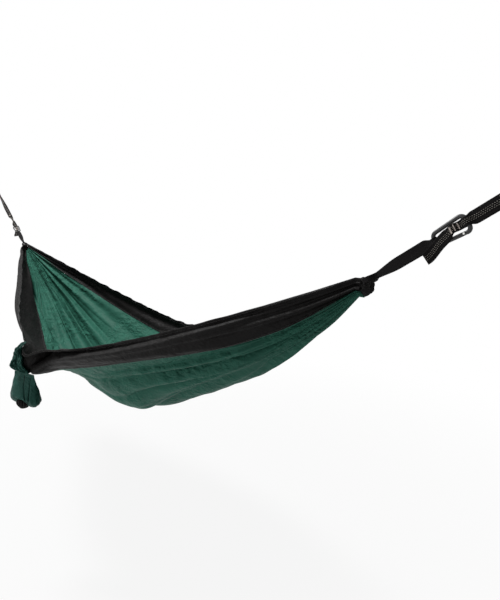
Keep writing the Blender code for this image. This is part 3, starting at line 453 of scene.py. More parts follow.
def moved(points, matrix):
    """Points turned and moved by a matrix: rotation times point, plus the translation."""
    m = np.array(matrix)
    return points @ m[:3, :3].T + m[:3, 3]


def webbing_surface(distance, lift, twist, across):
    """A point on webbing: up the strap by its distance, with its width turned by the twist."""
    return np.stack([
        distance + 0 * across,
        across * np.cos(twist) - lift * np.sin(twist),
        across * np.sin(twist) + lift * np.cos(twist),
    ], -1)


# Meshes


def grid_uv(across, along):
    """UVs of a grid from its places across and along."""
    return np.stack(np.broadcast_arrays(across, along), -1)


def surface(name, points, uv, ring=False, tube=False, smooth=True):
    """A mesh over a grid of points (rows, columns, 3), with one UV for each grid corner.

    A ring joins its last row to its first. A tube joins its last column to its first, and has
    a cap at both ends. The UVs then hold one more line. Faces run (row, column), next column,
    next row and column, next row.
    """
    rows, columns = points.shape[:2]
    i = np.arange(rows - (not ring))[:, None]
    j = np.arange(columns - (not tube))[None, :]
    steps = ((0, 0), (0, 1), (1, 1), (1, 0))
    corners = np.stack([(i + a) % rows * columns + (j + b) % columns for a, b in steps], -1)
    corner_uv = np.stack([uv[i + a, j + b] for a, b in steps], -2).reshape(-1, 2)
    faces = corners.reshape(-1, 4).tolist()
    if tube:
        faces.append(list(range(columns))[::-1])
        faces.append(list(range((rows - 1) * columns, rows * columns)))
        corner_uv = np.concatenate([corner_uv, uv[0, :columns][::-1], uv[-1, :columns]])
    mesh = bpy.data.meshes.new(name)
    mesh.from_pydata(points.reshape(-1, 3).tolist(), [], faces)
    layer = mesh.uv_layers.new(name="UVMap")
    layer.data.foreach_set("uv", np.ascontiguousarray(corner_uv, np.float32).ravel())
    if smooth:
        mesh.shade_smooth()
    if tube:
        mesh.set_sharp_from_angle(angle=math.radians(60))
    return mesh


def full_turn(count):
    """The angles of a full turn, as one row of a grid."""
    return np.linspace(0, 2 * math.pi, count + 1)[:-1][None, :]


def closed_skin(name, points, girth, height):
    """A capped tube over rings of points, whose UVs share out its girth and follow its height."""
    around = np.linspace(0, girth, points.shape[1] + 1)[None, :]
    return surface(name, points, grid_uv(around, height), tube=True)


def placed(name, data):
    """A new object in the scene, at the origin."""
    made = bpy.data.objects.new(name, data)
    bpy.context.scene.collection.objects.link(made)
    return made


def piece(name, mesh, finish, body=None):
    """Adds a finished piece at the origin, untransformed, riding on its body."""
    made = placed(name, mesh)
    mesh.materials.clear()
    mesh.materials.append(finish)
    if body:
        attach(made, body)
    return made


def thicken(obj, thickness):
    """Gives a sheet its thickness, half to each side."""
    wall = obj.modifiers.new("thickness", "SOLIDIFY")
    wall.thickness = thickness
    wall.offset = 0
    wall.use_even_offset = False


def joined(meshes, name):
    """One mesh from several, with their UVs kept."""
    shape = bmesh.new()
    for mesh in meshes:
        shape.from_mesh(mesh)
    made = bpy.data.meshes.new(name)
    shape.to_mesh(made)
    shape.free()
    made.shade_smooth()
    return made


def stitches(name, points, runs, rises, length, width, height):
    """Many small spindles, one for each stitch: two rings of four points and two poles.

    Each lies along its run, stands proud along its rise, and is sunk by half its height.
    """
    runs = runs / np.linalg.norm(runs, axis=-1, keepdims=True)
    rises = rises - (rises * runs).sum(-1, keepdims=True) * runs
    rises = rises / np.linalg.norm(rises, axis=-1, keepdims=True)
    sides = np.cross(rises, runs)
    turn = np.arange(4) * math.pi / 2 + math.pi / 4
    ring = np.stack([0 * turn, np.cos(turn) * width / 2 * 1.3, np.sin(turn) * height * 1.3], -1)
    local = np.concatenate([
        [[-length / 2, 0, 0]], ring + [-length / 4, 0, 0], ring + [length / 4, 0, 0],
        [[length / 2, 0, 0]],
    ])
    placed = (
        points[:, None] + local[None, :, :1] * runs[:, None]
        + local[None, :, 1:2] * sides[:, None] + local[None, :, 2:] * rises[:, None]
    )
    k = np.arange(4)
    after = (k + 1) % 4
    faces = np.concatenate([
        np.stack([0 * k, 1 + after, 1 + k], -1), np.stack([1 + k, 1 + after, 5 + after], -1),
        np.stack([1 + k, 5 + after, 5 + k], -1), np.stack([9 + 0 * k, 5 + k, 5 + after], -1),
    ])
    count = len(points)
    all_faces = (faces[None] + 10 * np.arange(count)[:, None, None]).reshape(-1, 3)
    mesh = bpy.data.meshes.new(name)
    mesh.from_pydata(placed.reshape(-1, 3).tolist(), [], all_faces.tolist())
    mesh.shade_smooth()
    return mesh


def summed_lengths(line):
    """The length along a line of points, up to each of them."""
    return np.concatenate([[0], np.cumsum(np.linalg.norm(np.diff(line, axis=0), axis=1))])


def along_line(points, pitch, start=0.5):
    """Places every pitch along a line of points: interpolated indices from its summed lengths."""
    total = summed_lengths(points)
    wanted = np.arange(start * pitch, total[-1] - start * pitch, pitch)
    return np.interp(wanted, total, np.arange(len(points)))


def sampled(index, *arrays):
    """The arrays' rows at indices that lie between two rows, interpolated."""
    rows = np.arange(len(arrays[0]))
    return [np.stack([np.interp(index, rows, a[:, k]) for k in range(3)], -1) for a in arrays]


# Materials


class Shade:
    """One output socket of a material's node. Python's operators on it add Math nodes."""

    def __init__(self, tree, socket=None):
        self.tree, self.socket = tree, socket

    def node(self, kind, settings=None, out=0, **inputs):
        """Adds a node: its settings first, then values or links of its sockets by name.

        An underscore in an input's name stands for a space, and s0, s1 for sockets by number.
        """
        made = self.tree.nodes.new(kind)
        for key, value in (settings or {}).items():
            setattr(made, key, value)
        for key, value in inputs.items():
            numbered = key[0] == "s" and key[1:].isdigit()
            target = made.inputs[int(key[1:]) if numbered else key.replace("_", " ")]
            if isinstance(value, Shade):
                self.tree.links.new(value.socket, target)
            else:
                target.default_value = value
        return Shade(self.tree, made.outputs[out])

    def output(self, key):
        """Another output of the same node."""
        return Shade(self.tree, self.socket.node.outputs[key])

    def math(self, operation, *values):
        """A Math node of that operation on the values."""
        inputs = {f"s{k}": value for k, value in enumerate(values)}
        return self.node("ShaderNodeMath", {"operation": operation}, **inputs)

    def __add__(self, other):
        return self.math("ADD", self, other)

    def __sub__(self, other):
        return self.math("SUBTRACT", self, other)

    def __rsub__(self, other):
        return self.math("SUBTRACT", other, self)

    def __mul__(self, other):
        return self.math("MULTIPLY", self, other)

    __radd__ = __add__
    __rmul__ = __mul__

    def sin(self):
        """The sine of the angle in radians."""
        return self.math("SINE", self)

    def fold(self, period):
        """A triangle wave: the distance to the nearest multiple of the period."""
        return self.math("PINGPONG", self, period)

    def step(self, low, high):
        """0 below low, 1 above high, smooth between."""
        settings = {"interpolation_type": "SMOOTHSTEP"}
        return self.node("ShaderNodeMapRange", settings, Value=self, From_Min=low, From_Max=high)

    def noise(self, vector, scale, detail=2.0, roughness=0.5):
        """Fractal noise from 0 to 1 over the vector."""
        return self.node(
            "ShaderNodeTexNoise", Vector=vector, Scale=scale, Detail=detail, Roughness=roughness
        )

    def mix(self, low, high):
        """Between two colours, by this value."""
        settings = {"data_type": "RGBA", "clamp_factor": True}
        return self.node("ShaderNodeMix", settings, 2, s0=self, s6=(*low, 1), s7=(*high, 1))


def start_material(name, **constants):
    """A new material, its shader node with the constants set on it, and a Shade to build with."""
    made = bpy.data.materials.new(name)
    made.use_nodes = True
    shader = made.node_tree.nodes["Principled BSDF"]
    for key, value in constants.items():
        shader.inputs[key.replace("_", " ")].default_value = value
    return made, shader, Shade(made.node_tree)


def feed(shader, **links):
    """Links values to the shader's inputs, whose names have underscores for spaces."""
    for key, value in links.items():
        shader.id_data.links.new(value.socket, shader.inputs[key.replace("_", " ")])


def shades_of(colour, low, high):
    """The colour times a low and times a high factor."""
    return tuple(c * low for c in colour), tuple(c * high for c in colour)


def woven_uv(s):
    """The UVs, in metres, and their values across and along the cloth."""
    uv = s.node("ShaderNodeUVMap")
    across = s.node("ShaderNodeSeparateXYZ", Vector=uv)
    return uv, across, across.output(1)


def nylon(name, colour, gloss, shine, crumpling):
    """Thin woven nylon: a plain weave, the product of two sines, faint slubs along both threads,
    soft mottling, and crumples where slow noise passes its middle."""
    made, shader, s = start_material(name, Specular_IOR_Level=shine)
    uv, across, lengthwise = woven_uv(s)
    place = s.node("ShaderNodeTexCoord", out=3)
    turn = 2 * math.pi / (1.1 * MM)
    weave = (across * turn).sin() * (lengthwise * turn).sin()
    slub = s.noise(s.node("ShaderNodeMapping", Vector=uv, Scale=(900, 14, 1)), 1.0, 1.0)
    slub = slub + s.noise(s.node("ShaderNodeMapping", Vector=uv, Scale=(14, 900, 1)), 1.0, 1.0)
    mottle = s.noise(place, 9.0, 4.0, 0.6)
    fine = s.noise(place, 220.0)
    stretched = s.node("ShaderNodeMapping", Vector=place, Scale=(0.6, 1, 1))
    ridges = s.math("ABSOLUTE", s.noise(stretched, 15.0, 4.0, 0.6) - 0.5)
    crumple = ridges * (s.noise(place, 4.5).step(0.36, 0.60) * 0.8 + 0.2)
    tone = mottle.step(0.3, 0.7) * 0.6 + slub * 0.22 + weave * 0.05
    rough = mottle * 0.16 + fine * 0.10 + (gloss - 0.12)
    height = weave * 0.3 + slub * 0.5 + fine * 0.6
    folded = s.node("ShaderNodeBump", Height=crumple * crumpling, Distance=0.044, Strength=0.9)
    normal = s.node("ShaderNodeBump", Height=height, Normal=folded, Distance=0.00012, Strength=0.5)
    tone = tone.mix(*shades_of(colour, 0.82, 1.20))
    feed(shader, Base_Color=tone, Roughness=rough, Normal=normal)
    return made


def webbing_material(name, colour):
    """Polyester webbing: a chevron weave over its width, paler on its crests."""
    made, shader, s = start_material(
        name, Sheen_Weight=0.03, Sheen_Roughness=0.5, Specular_IOR_Level=0.06
    )
    _, across, lengthwise = woven_uv(s)
    chevron = (lengthwise + (across + 0.1).fold(2.2 * MM) * 1.1) * (2 * math.pi / (1.5 * MM))
    cord = (across * (2 * math.pi / (1.1 * MM))).sin()
    weave = chevron.sin() * 0.7 + cord * 0.3
    place = s.node("ShaderNodeTexCoord", out=3)
    dust = s.noise(place, 60.0, 4.0, 0.6)
    fuzz = s.noise(place, 900.0)
    tone = weave.step(-0.6, 1.1) * 0.5 + dust * 0.35 + fuzz * 0.1
    tone = tone.mix(*shades_of(colour, 0.7, 2.1))
    normal = s.node("ShaderNodeBump", Height=weave + fuzz * 0.5, Distance=0.00022, Strength=0.8)
    feed(shader, Base_Color=tone, Roughness=dust * 0.2 + 0.62, Normal=normal)
    return made


def thread_material(name, colour):
    """Twisted thread: fine light and dark turns along each stitch."""
    made, shader, s = start_material(name, Sheen_Weight=0.2)
    place = s.node("ShaderNodeTexCoord", out=3)
    turns = s.noise(place, 1600.0)
    patches = s.noise(place, 40.0, 3.0)
    tone = (turns * 0.6 + patches * 0.4).mix(*shades_of(colour, 0.6, 1.25))
    normal = s.node("ShaderNodeBump", Height=turns, Distance=0.0001, Strength=0.6)
    feed(shader, Base_Color=tone, Roughness=patches * 0.2 + 0.5, Normal=normal)
    return made


def anodised(name, colour):
    """Black anodised bar: satin, with fine rub marks and a few bare specks."""
    made, shader, s = start_material(name)
    place = s.node("ShaderNodeTexCoord", out=3)
    rub = s.noise(s.node("ShaderNodeMapping", Vector=place, Scale=(40, 40, 400)), 2.0, 3.0)
    specks = s.noise(place, 700.0, 3.0, 0.7).step(0.70, 0.76)
    worn = s.noise(place, 130.0).step(0.56, 0.68) * specks
    tone = worn.mix(colour, (0.30, 0.30, 0.31))
    height = s.noise(place, 2500.0, 1.0) + rub
    normal = s.node("ShaderNodeBump", Height=height, Distance=0.00003, Strength=0.5)
    metal, rough = 0.15 + worn * 0.8, rub * 0.16 + 0.30
    feed(shader, Base_Color=tone, Metallic=metal, Roughness=rough, Normal=normal)
    return made


def bright_steel(name, colour):
    """Bright steel with faint turning marks."""
    made, shader, s = start_material(name, Metallic=1.0)
    marks = s.noise(s.node("ShaderNodeTexCoord", out=3), 900.0)
    tone = marks.mix(*shades_of(colour, 0.8, 1.1))
    normal = s.node("ShaderNodeBump", Height=marks, Distance=0.00003, Strength=0.4)
    feed(shader, Base_Color=tone, Roughness=marks * 0.2 + 0.16, Normal=normal)
    return made


def finishes():
    """The materials by their use, each made the first time that it is asked for."""
    cloth, hung = bpy.context.scene.hammock_cloth, bpy.context.scene.hammock_suspension
    made = {}
    for use, name, maker, colour, *values in (
        ("green", "green_nylon", nylon, cloth.green, 0.50, 0.05, 1.0),
        # The same nylon as the bed's, in the sack's darker green, which is painted shade.
        ("sack", "sack_nylon", nylon, cloth.sack, 0.48, 0.05, 0.8),
        ("black", "black_nylon", nylon, cloth.black, 0.52, 0.06, 0.45),
        ("seam", "seam_thread", thread_material, cloth.thread),
        ("webbing", "chevron_webbing", webbing_material, hung.webbing),
        ("stitching", "strap_stitching", thread_material, hung.stitching),
        ("tack", "bar_tack_thread", thread_material, hung.tack),
        ("anodised", "anodised_bar", anodised, hung.anodising),
        ("steel", "pin_steel", bright_steel, hung.steel),
    ):
        made[use] = bpy.data.materials.get(name) or maker(name, tuple(colour), *values)
    return made


def seen_rays(s):
    """1 for camera, glossy and transmission rays, and 0 for the others, that only light things."""
    rays = s.node("ShaderNodeLightPath")
    camera, glossy, through = (
        rays.output(f"Is {kind} Ray") for kind in ("Camera", "Glossy", "Transmission")
    )
    return s.math("MAXIMUM", s.math("MAXIMUM", camera, glossy), through)


def mix_surface(s, factor, lit, plain, output):
    """Links the output's surface to a mix of the lit shader and the plain one, by the factor."""
    both = s.node("ShaderNodeMixShader", s0=factor, s1=Shade(s.tree, lit.outputs[0]), s2=plain)
    s.tree.links.new(both.socket, s.tree.nodes[output].inputs["Surface"])


# Pieces and their operators


def panel_mesh(name, rows, columns, low, high, settings):
    """A strip of the bed's cloth between two places across, with UVs in cut metres."""
    along = bed_places(rows, 1.012)[:, None]
    across = np.linspace(low, high, columns + 1)[None, :]
    uv = grid_uv(FULL_CUT * across, LENGTH_CUT / 2 * along)
    return surface(name, bed_surface(along, across, settings), uv)


def band_mesh(name, rows, middle, half_width, settings):
    """A soft flattened tube that runs along the bed: a superellipse across, capped at its ends."""
    along = bed_places(rows, 1.011)[:, None]
    turn = full_turn(16)
    flat = np.sign(np.cos(turn)) * np.abs(np.cos(turn)) ** 0.6
    thick = np.sign(np.sin(turn)) * np.abs(np.sin(turn)) ** 0.8
    narrowing = np.minimum(1, bed_normal(along, np.full_like(along, middle))[1] / 0.25)
    offset = BAND_HALF_THICKNESS * thick * (0.35 + 0.65 * narrowing)
    points = bed_surface(along, middle + half_width * flat, settings, offset)
    return closed_skin(name, points, FULL_CUT * 4 * half_width, LENGTH_CUT / 2 * along)


def seam_stitches(name, places, settings):
    """Stitches along the bed at each of the places across it, on both of its faces."""
    along = np.linspace(-0.97, 0.97, 900)
    size = (THREAD_PITCH * 0.7, 0.8 * MM, 0.4 * MM)
    meshes = []
    for across in places:
        line = bed_surface(along, np.full_like(along, across), settings)
        place = np.interp(along_line(line, THREAD_PITCH), np.arange(900), along)
        same = np.full_like(place, across)
        before, after = (bed_surface(place + d, same, settings) for d in (-1e-3, 1e-3))
        nearer, farther = (bed_surface(place, same + d, settings) for d in (-2e-3, 2e-3))
        run, rise = after - before, np.cross(after - before, farther - nearer)
        for offset in (THREAD_LIFT, -THREAD_LIFT):
            points = bed_surface(place, same, settings, offset)
            meshes.append(stitches(name, points, run, rise, *size))
    return joined(meshes, name)


class HAMMOCK_OT_bed(bpy.types.Operator):
    """Makes the bed's cloth: the pleated panels, the ruffled hems, the seams and their thread."""

    bl_idname = "hammock.bed"
    bl_label = "Bed Cloth"
    bl_options = {"REGISTER", "UNDO"}

    def execute(self, context):
        settings = context.scene.hammock_cloth
        finish = finishes()
        for name, columns, rows, first, colour, slot in (
            ("near_side", 48, 560, 1, "black", "black_cloth"),
            ("centre", 205, 230, 2, "green", "green_cloth"),
            ("far_side", 22, 560, 3, "black", "black_cloth"),
        ):
            low = SEAMS[first] - PANEL_OVERLAP * (first > 1)
            high = SEAMS[first + 1] + PANEL_OVERLAP * (first < 3)
            mesh = panel_mesh(name + "_cloth", rows, columns, low, high, settings)
            made = piece(name + "_cloth", mesh, finish[colour], "hammock")
            thicken(made, settings.cloth_thickness)
            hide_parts("centre_panel" if name == "centre" else name + "_panel")
        trims = {"near": [], "far": []}
        near, far = SEAMS[2], SEAMS[3]
        for side, name, thread, rows, middle, half_width, places in (
            ("near", "_hem_band", "_hem_thread", 700, 0.0145, 0.0150, (HEM_STITCH,)),
            ("far", "_hem_band", "_hem_thread", 700, 0.9860, 0.0145, (1 - HEM_STITCH,)),
            ("near", "_felled_seam", "_seam_thread", 420, near, SEAM_HALF, near + SEAM_ROWS),
            ("far", "_felled_seam", "_seam_thread", 420, far, SEAM_HALF, far + SEAM_ROWS),
        ):
            mesh = band_mesh(side + name, rows, middle, half_width, settings)
            band = piece(side + name, mesh, finish["black"], "hammock")
            if name == "_hem_band":
                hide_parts(side + "_hem")
            mesh = seam_stitches(side + thread, places, settings)
            trims[side] += [band, piece(side + thread, mesh, finish["seam"], "hammock")]
        return {"FINISHED"}


def bunch_mesh(side):
    """A barrel about X whose radius is a profile times uneven pleats, turned in at both ends.

    Past the front rim the rings shrink and sink back, so that the pleats run into a dimple.
    """
    front, inward = np.linspace(0, 1, 40), np.linspace(0, 1, 14)[1:]
    share = np.concatenate([front, np.linspace(1.0, 0.86, 14)[1:]])[:, None]
    ring_size = np.concatenate([
        0.74 + 0.22 * ease(front, 0, 0.5) - 0.26 * ease(front, 0.55, 1.0) ** 1.3,
        0.70 * (1 - ease(inward, 0, 1.0)) + 0.03,
    ])[:, None]
    turn = full_turn(240)
    phase = 19 * turn + 1.3 * np.sin(2 * turn + 0.4) + 0.7 * np.sin(3 * turn) + 1.5 * share
    sharp = np.abs(np.sin(phase / 2)) ** 0.8
    pleat = 1 + 0.11 * (sharp - 0.55) + 0.03 * np.sin(5 * turn + 4 * share + 1)
    x = (-24 + 35 * share) * MM + 0.6 * MM * np.sin(7 * turn)
    y = CHANNEL_HALF_WIDTH * ring_size * pleat * np.cos(turn)
    z = CHANNEL_HALF_HEIGHT * ring_size * pleat * np.sin(turn) - (16 - 5 * share) * MM
    points = moved(np.stack([x, y, z], -1), level_matrix(side))
    return closed_skin(side + "_bunched_channel", points, 0.36, share * 0.035)


class HAMMOCK_OT_end_channels(bpy.types.Operator):
    """Makes the scrunched end channels on the webbing loops."""

    bl_idname = "hammock.end_channels"
    bl_label = "End Channels"
    bl_options = {"REGISTER", "UNDO"}

    def execute(self, context):
        finish = finishes()
        for side in ("right", "left"):
            name, mesh = side + "_bunched_channel", bunch_mesh(side)
            made = piece(name, mesh, finish["black"], "hammock")
            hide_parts(side + "_end_channel")
        return {"FINISHED"}


def loop_mesh(side):
    """The solid's path in finer steps, with a strip swept across it.

    Half the path goes round a corner, up the channel's side and inwards by smooth steps to
    a half circle round the bow. The other half is its mirror image.
    """
    corner, start, bow = LOOP_CORNER, LOOP_START, LOOP_BOW
    turn = np.linspace(0, math.pi / 2, 9)
    leg = LEG_START + (bow - LEG_START) * np.linspace(0, 1, 70)[1:-1]
    lift = PLY_LIFT + (LOOP_SIDE_LIFT - PLY_LIFT) * (1 - ease(leg, LEG_START, LEGS_MEET))
    lift = np.maximum(lift, PLY_LIFT + (BOW_LIFT - PLY_LIFT) * ease(leg, bow - 18 * MM, bow))
    half_distance = np.concatenate([
        [start, start], start + corner * (1 - np.cos(turn)), [LEG_START], leg,
        bow + BOW_LIFT * np.sin(turn),
    ])
    half_lift = np.concatenate([
        [0, (LOOP_SIDE_LIFT - corner) / 2], LOOP_SIDE_LIFT - corner * (1 - np.sin(turn)),
        [LOOP_SIDE_LIFT], lift, BOW_LIFT * np.cos(turn),
    ])
    distance = np.concatenate([half_distance, half_distance[-2:0:-1]])[:, None]
    lift = np.concatenate([half_lift, -half_lift[-2:0:-1]])[:, None]
    twist = UPRIGHT + (CARABINER_TWIST[side] - UPRIGHT) * ease(distance, 20 * MM, bow - 15 * MM)
    width = (12 + 13 * ease(distance, 12 * MM, 85 * MM)) * MM
    width = width - 13.5 * MM * ease(distance, bow - 22 * MM, bow - 5 * MM)
    y = np.linspace(-1, 1, 11)[None, :]
    cup = 0.5 * MM * y**2 * ease(distance, 60 * MM, 100 * MM) * np.sign(lift)
    points = webbing_surface(distance, lift + cup, twist, width / 2 * y)
    run = summed_lengths(np.concatenate([points[:, 5], points[:1, 5]]))[:, None]
    mesh_points, uv = moved(points, side_matrix(side)), grid_uv(11 * MM * y, run)
    return surface(side + "_loop_webbing", mesh_points, uv, ring=True)


class HAMMOCK_OT_webbing_loops(bpy.types.Operator):
    """Makes the loops that join the end channels to the carabiners."""

    bl_idname = "hammock.webbing_loops"
    bl_label = "Webbing Loops"
    bl_options = {"REGISTER", "UNDO"}

    def execute(self, context):
        finish = finishes()
        for side in ("right", "left"):
            name, mesh = side + "_loop_webbing", loop_mesh(side)
            made = piece(name, mesh, finish["webbing"], "hammock")
            thicken(made, WEBBING)
            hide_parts(side + "_webbing_loop")
        return {"FINISHED"}


def cut_distance(side):
    """How far up the strap the swing's line crosses it: the line's height over the sine."""
    return SWING_HEIGHT / math.sin(RISE[side])


def strap_twist(side, from_bow):
    """The strap's twist: the carabiner's, then its own turn, then a slow turn to the tree's."""
    start, turn = CARABINER_TWIST[side], STRAP_TURN[side]
    left_over = TREE_TWIST[side] - start - turn
    return start + turn * ease(from_bow, 8 * MM, 180 * MM) + left_over * ease(from_bow, 0.2, 0.45)


def strap_path(side):
    """Rows of distance, lift, twist, width and shift: up one ply from the tail to the tree eye,
    round the eye, and back down the other ply to the tail.

    Both plies lie close to a middle line. At the bow they part by a cosine squared. Behind it
    smooth steps of the distance lift, curl, widen and shift the tail.
    """
    bow, cut = STRAP_BOW, cut_distance(side)
    before, past, flare_start = bow - 18 * MM, bow + 18 * MM, cut + 18 * MM
    distance = np.concatenate([
        np.linspace(TAIL_END, before, 50)[:-1], np.linspace(before, past, 50)[:-1],
        np.linspace(past, flare_start, 170),
    ])
    from_bow = distance - bow
    hump = np.where(np.abs(from_bow) < 15 * MM, np.cos(from_bow / (15 * MM) * math.pi / 2) ** 2, 0)
    half = PLY_LIFT + (BOW_LIFT - PLY_LIFT) * hump
    curl = ease(-from_bow, 55 * MM, 98 * MM)
    middle = TAIL_LIFT * ease(-from_bow, 15 * MM, 30 * MM) + TAIL_CURL * curl
    half = half * np.hypot(1, np.gradient(middle, distance))
    twist = strap_twist(side, from_bow) + TAIL_CURL_TURN * curl
    width = STRAP_BOW_WIDTH + (STRAP_WIDTH - STRAP_BOW_WIDTH) * ease(from_bow, 1 * MM, 14 * MM)
    width = width + 8 * MM * ease(-from_bow, 28 * MM, 44 * MM)
    shift = 1 * MM * (1 - ease(from_bow, 1 * MM, 20 * MM))
    shift = shift - 5 * MM * ease(-from_bow, 26 * MM, 40 * MM)
    shift = shift - 17 * MM * ease(-from_bow, 26 * MM, 104 * MM)
    flare_end, side_end = cut + 40 * MM, cut + 52 * MM
    flare = np.linspace(flare_start, flare_end, 16)[1:]
    straight = np.linspace(flare_end, side_end, 8)[1:]
    turn = np.linspace(0, math.pi / 2, 14)[1:]
    eye_distance = np.concatenate([flare, straight, side_end + EYE_HALF_GAP * np.sin(turn)])
    eye_lift = np.concatenate([
        PLY_LIFT + (EYE_HALF_GAP - PLY_LIFT) * ease(flare, flare_start, flare_end),
        EYE_HALF_GAP + 0 * straight, EYE_HALF_GAP * np.cos(turn),
    ])
    up = np.stack([distance, middle + half, twist, width, shift], -1)
    down = np.stack([distance, middle - half, twist, width, shift], -1)
    none = 0 * eye_lift
    eye = np.stack([eye_distance, eye_lift, TREE_TWIST[side] + none, STRAP_WIDTH + none, none], -1)
    back = eye * (1, -1, 1, 1, 1)
    return up, eye, back[-2::-1], down[::-1]


def outer_face(path, across, outward, proud):
    """Points, runs and rises proud of a ply's outer face, at a distance across from its middle."""
    distance, middle, twist, _, shift = path.T
    lift = middle + outward * (WEBBING / 2 + proud)
    points = webbing_surface(distance, lift, twist, shift + across)
    run = np.gradient(points, axis=0)
    rise = webbing_surface(0 * distance, 0 * lift + outward, twist, 0 * distance)
    return points, run, rise


def stitched_rows(side, settings):
    """Three staggered rows of stitches down the middle of both plies' outer faces."""
    up, _, _, down = strap_path(side)
    meshes = []
    for path, outward in ((up, 1), (down[::-1], -1)):
        for row in (-1, 0, 1):
            across = row * settings.row_pitch
            points, run, rise = outer_face(path, across, outward, 0.1 * MM)
            index = along_line(points, settings.stitch_pitch, 0.5 + 0.5 * (row % 2))
            at = sampled(index, points, run, rise)
            length = settings.stitch_pitch * 0.66
            meshes.append(stitches("stitches", *at, length, 0.95 * MM, 0.42 * MM))
    mesh = joined(meshes, side + "_strap_stitching")
    mesh.transform(side_matrix(side))
    return mesh


def bar_tacks(side):
    """Bar tacks: short close threads laid along the strap, in rows across its width."""
    up, _, _, down = strap_path(side)
    meshes = []
    for path, outward in ((up, 1), (down[::-1], -1)):
        for distance in STRAP_BOW - TACKS_BACK:
            row = np.array([np.interp(distance, path[:, 0], path[:, k]) for k in range(5)])
            half = row[3] * 0.36
            across = np.arange(-half, half, 0.55 * MM)
            rows = np.repeat(row[None], len(across), 0)
            points, _, rise = outer_face(rows, across, outward, 0.25 * MM)
            run = np.repeat([[1.0, 0, 0]], len(across), 0) + 0.05
            meshes.append(stitches("tack", points, run, rise, 3.8 * MM, 0.75 * MM, 0.5 * MM))
    mesh = joined(meshes, side + "_bar_tacks")
    mesh.transform(side_matrix(side))
    return mesh


class HAMMOCK_OT_tree_straps(bpy.types.Operator):
    """Makes the tree straps with their eyes, stitched rows and bar tacks."""

    bl_idname = "hammock.tree_straps"
    bl_label = "Tree Straps"
    bl_options = {"REGISTER", "UNDO"}

    def execute(self, context):
        settings = context.scene.hammock_suspension
        finish = finishes()
        for side in ("right", "left"):
            path = np.concatenate(strap_path(side))
            matrix = side_matrix(side)
            y = np.linspace(-1, 1, 13)[None, :]
            distance, lift, twist, width, shift = (path[:, k : k + 1] for k in range(5))
            points = webbing_surface(distance, lift, twist, shift + width / 2 * y)
            uv = grid_uv(STRAP_WIDTH / 2 * y, summed_lengths(points[:, 6])[:, None])
            mesh = surface(side + "_strap_webbing", moved(points, matrix), uv)
            strap = piece(side + "_strap_webbing", mesh, finish["webbing"], None)
            thicken(strap, WEBBING)
            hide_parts(side + "_tree_strap", side + "_strap_loop_ply", side + "_strap_eye")
            rows = stitched_rows(side, settings)
            thread = piece(side + "_strap_stitching", rows, finish["stitching"])
            tacks = piece(side + "_bar_tacks", bar_tacks(side), finish["tack"])
            cut = cut_distance(side)
            start, end = (matrix @ Vector((cut + d, 0, 0)) for d in (-0.07, 0.012))
            for made in (strap, thread, tacks):
                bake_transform(made)
        return {"FINISHED"}


def welded_copy(node):
    """A copy of a node's mesh with its loose triangles merged and shaded smooth."""
    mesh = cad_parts[node].data.copy()
    shape = bmesh.new()
    shape.from_mesh(mesh)
    bmesh.ops.remove_doubles(shape, verts=shape.verts, dist=2e-6)
    shape.to_mesh(mesh)
    shape.free()
    mesh.shade_smooth()
    mesh.set_sharp_from_angle(angle=math.radians(38))
    return mesh


class HAMMOCK_OT_carabiners(bpy.types.Operator):
    """Finishes the carabiners: anodised bar and gate, bright rivets and pins."""

    bl_idname = "hammock.carabiners"
    bl_label = "Carabiners"
    bl_options = {"REGISTER", "UNDO"}

    def execute(self, context):
        finish = finishes()
        for side in ("right", "left"):
            for node, body, look in (
                ("_carabiner_body", "hammock", "anodised"),
                ("_gate", side + "_gate", "anodised"),
                ("_gate_rivet", side + "_gate", "steel"),
                ("_latch_pin", side + "_gate", "steel"),
            ):
                mesh = welded_copy(side + node)
                made = piece(side + node + "_finished", mesh, finish[look], body)
                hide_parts(side + node)
            for node in ("_gate_spring", "_gate_plunger"):
                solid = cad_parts[side + node]
                solid.data.materials.clear()
                solid.data.materials.append(finish["steel"])
        return {"FINISHED"}


def side_face(x, z):
    """Y of the near side's outside at each X and Z of the ridge frame.

    At each height of each section it is the least, over the section, of Y plus twice the
    distance from that height. Between these places it is interpolated along both axes.
    """
    settings = bpy.context.scene.hammock_cloth
    places, levels = np.linspace(-0.25, 0.25, 120), np.linspace(-0.56, -0.34, 60)
    side = bed_surface(places[:, None] / BED_HALF, np.linspace(0, 0.24, 70), settings) - ORIGIN
    apart = np.abs(side[:, None, :, 2] - levels[None, :, None])
    least = (side[:, None, :, 1] + 2 * np.maximum(apart - 4 * MM, 0)).min(-1)
    row, level = (
        np.clip((value - grid[0]) / (grid[1] - grid[0]), 0, len(grid) - 1.001)
        for value, grid in zip(np.broadcast_arrays(x, z), (places, levels))
    )
    r, k = row.astype(int), level.astype(int)
    u, v = row - r, level - k
    low = least[r, k] * (1 - v) + least[r, k + 1] * v
    high = least[r + 1, k] * (1 - v) + least[r + 1, k + 1] * v
    return low * (1 - u) + high * u - 1.5 * MM


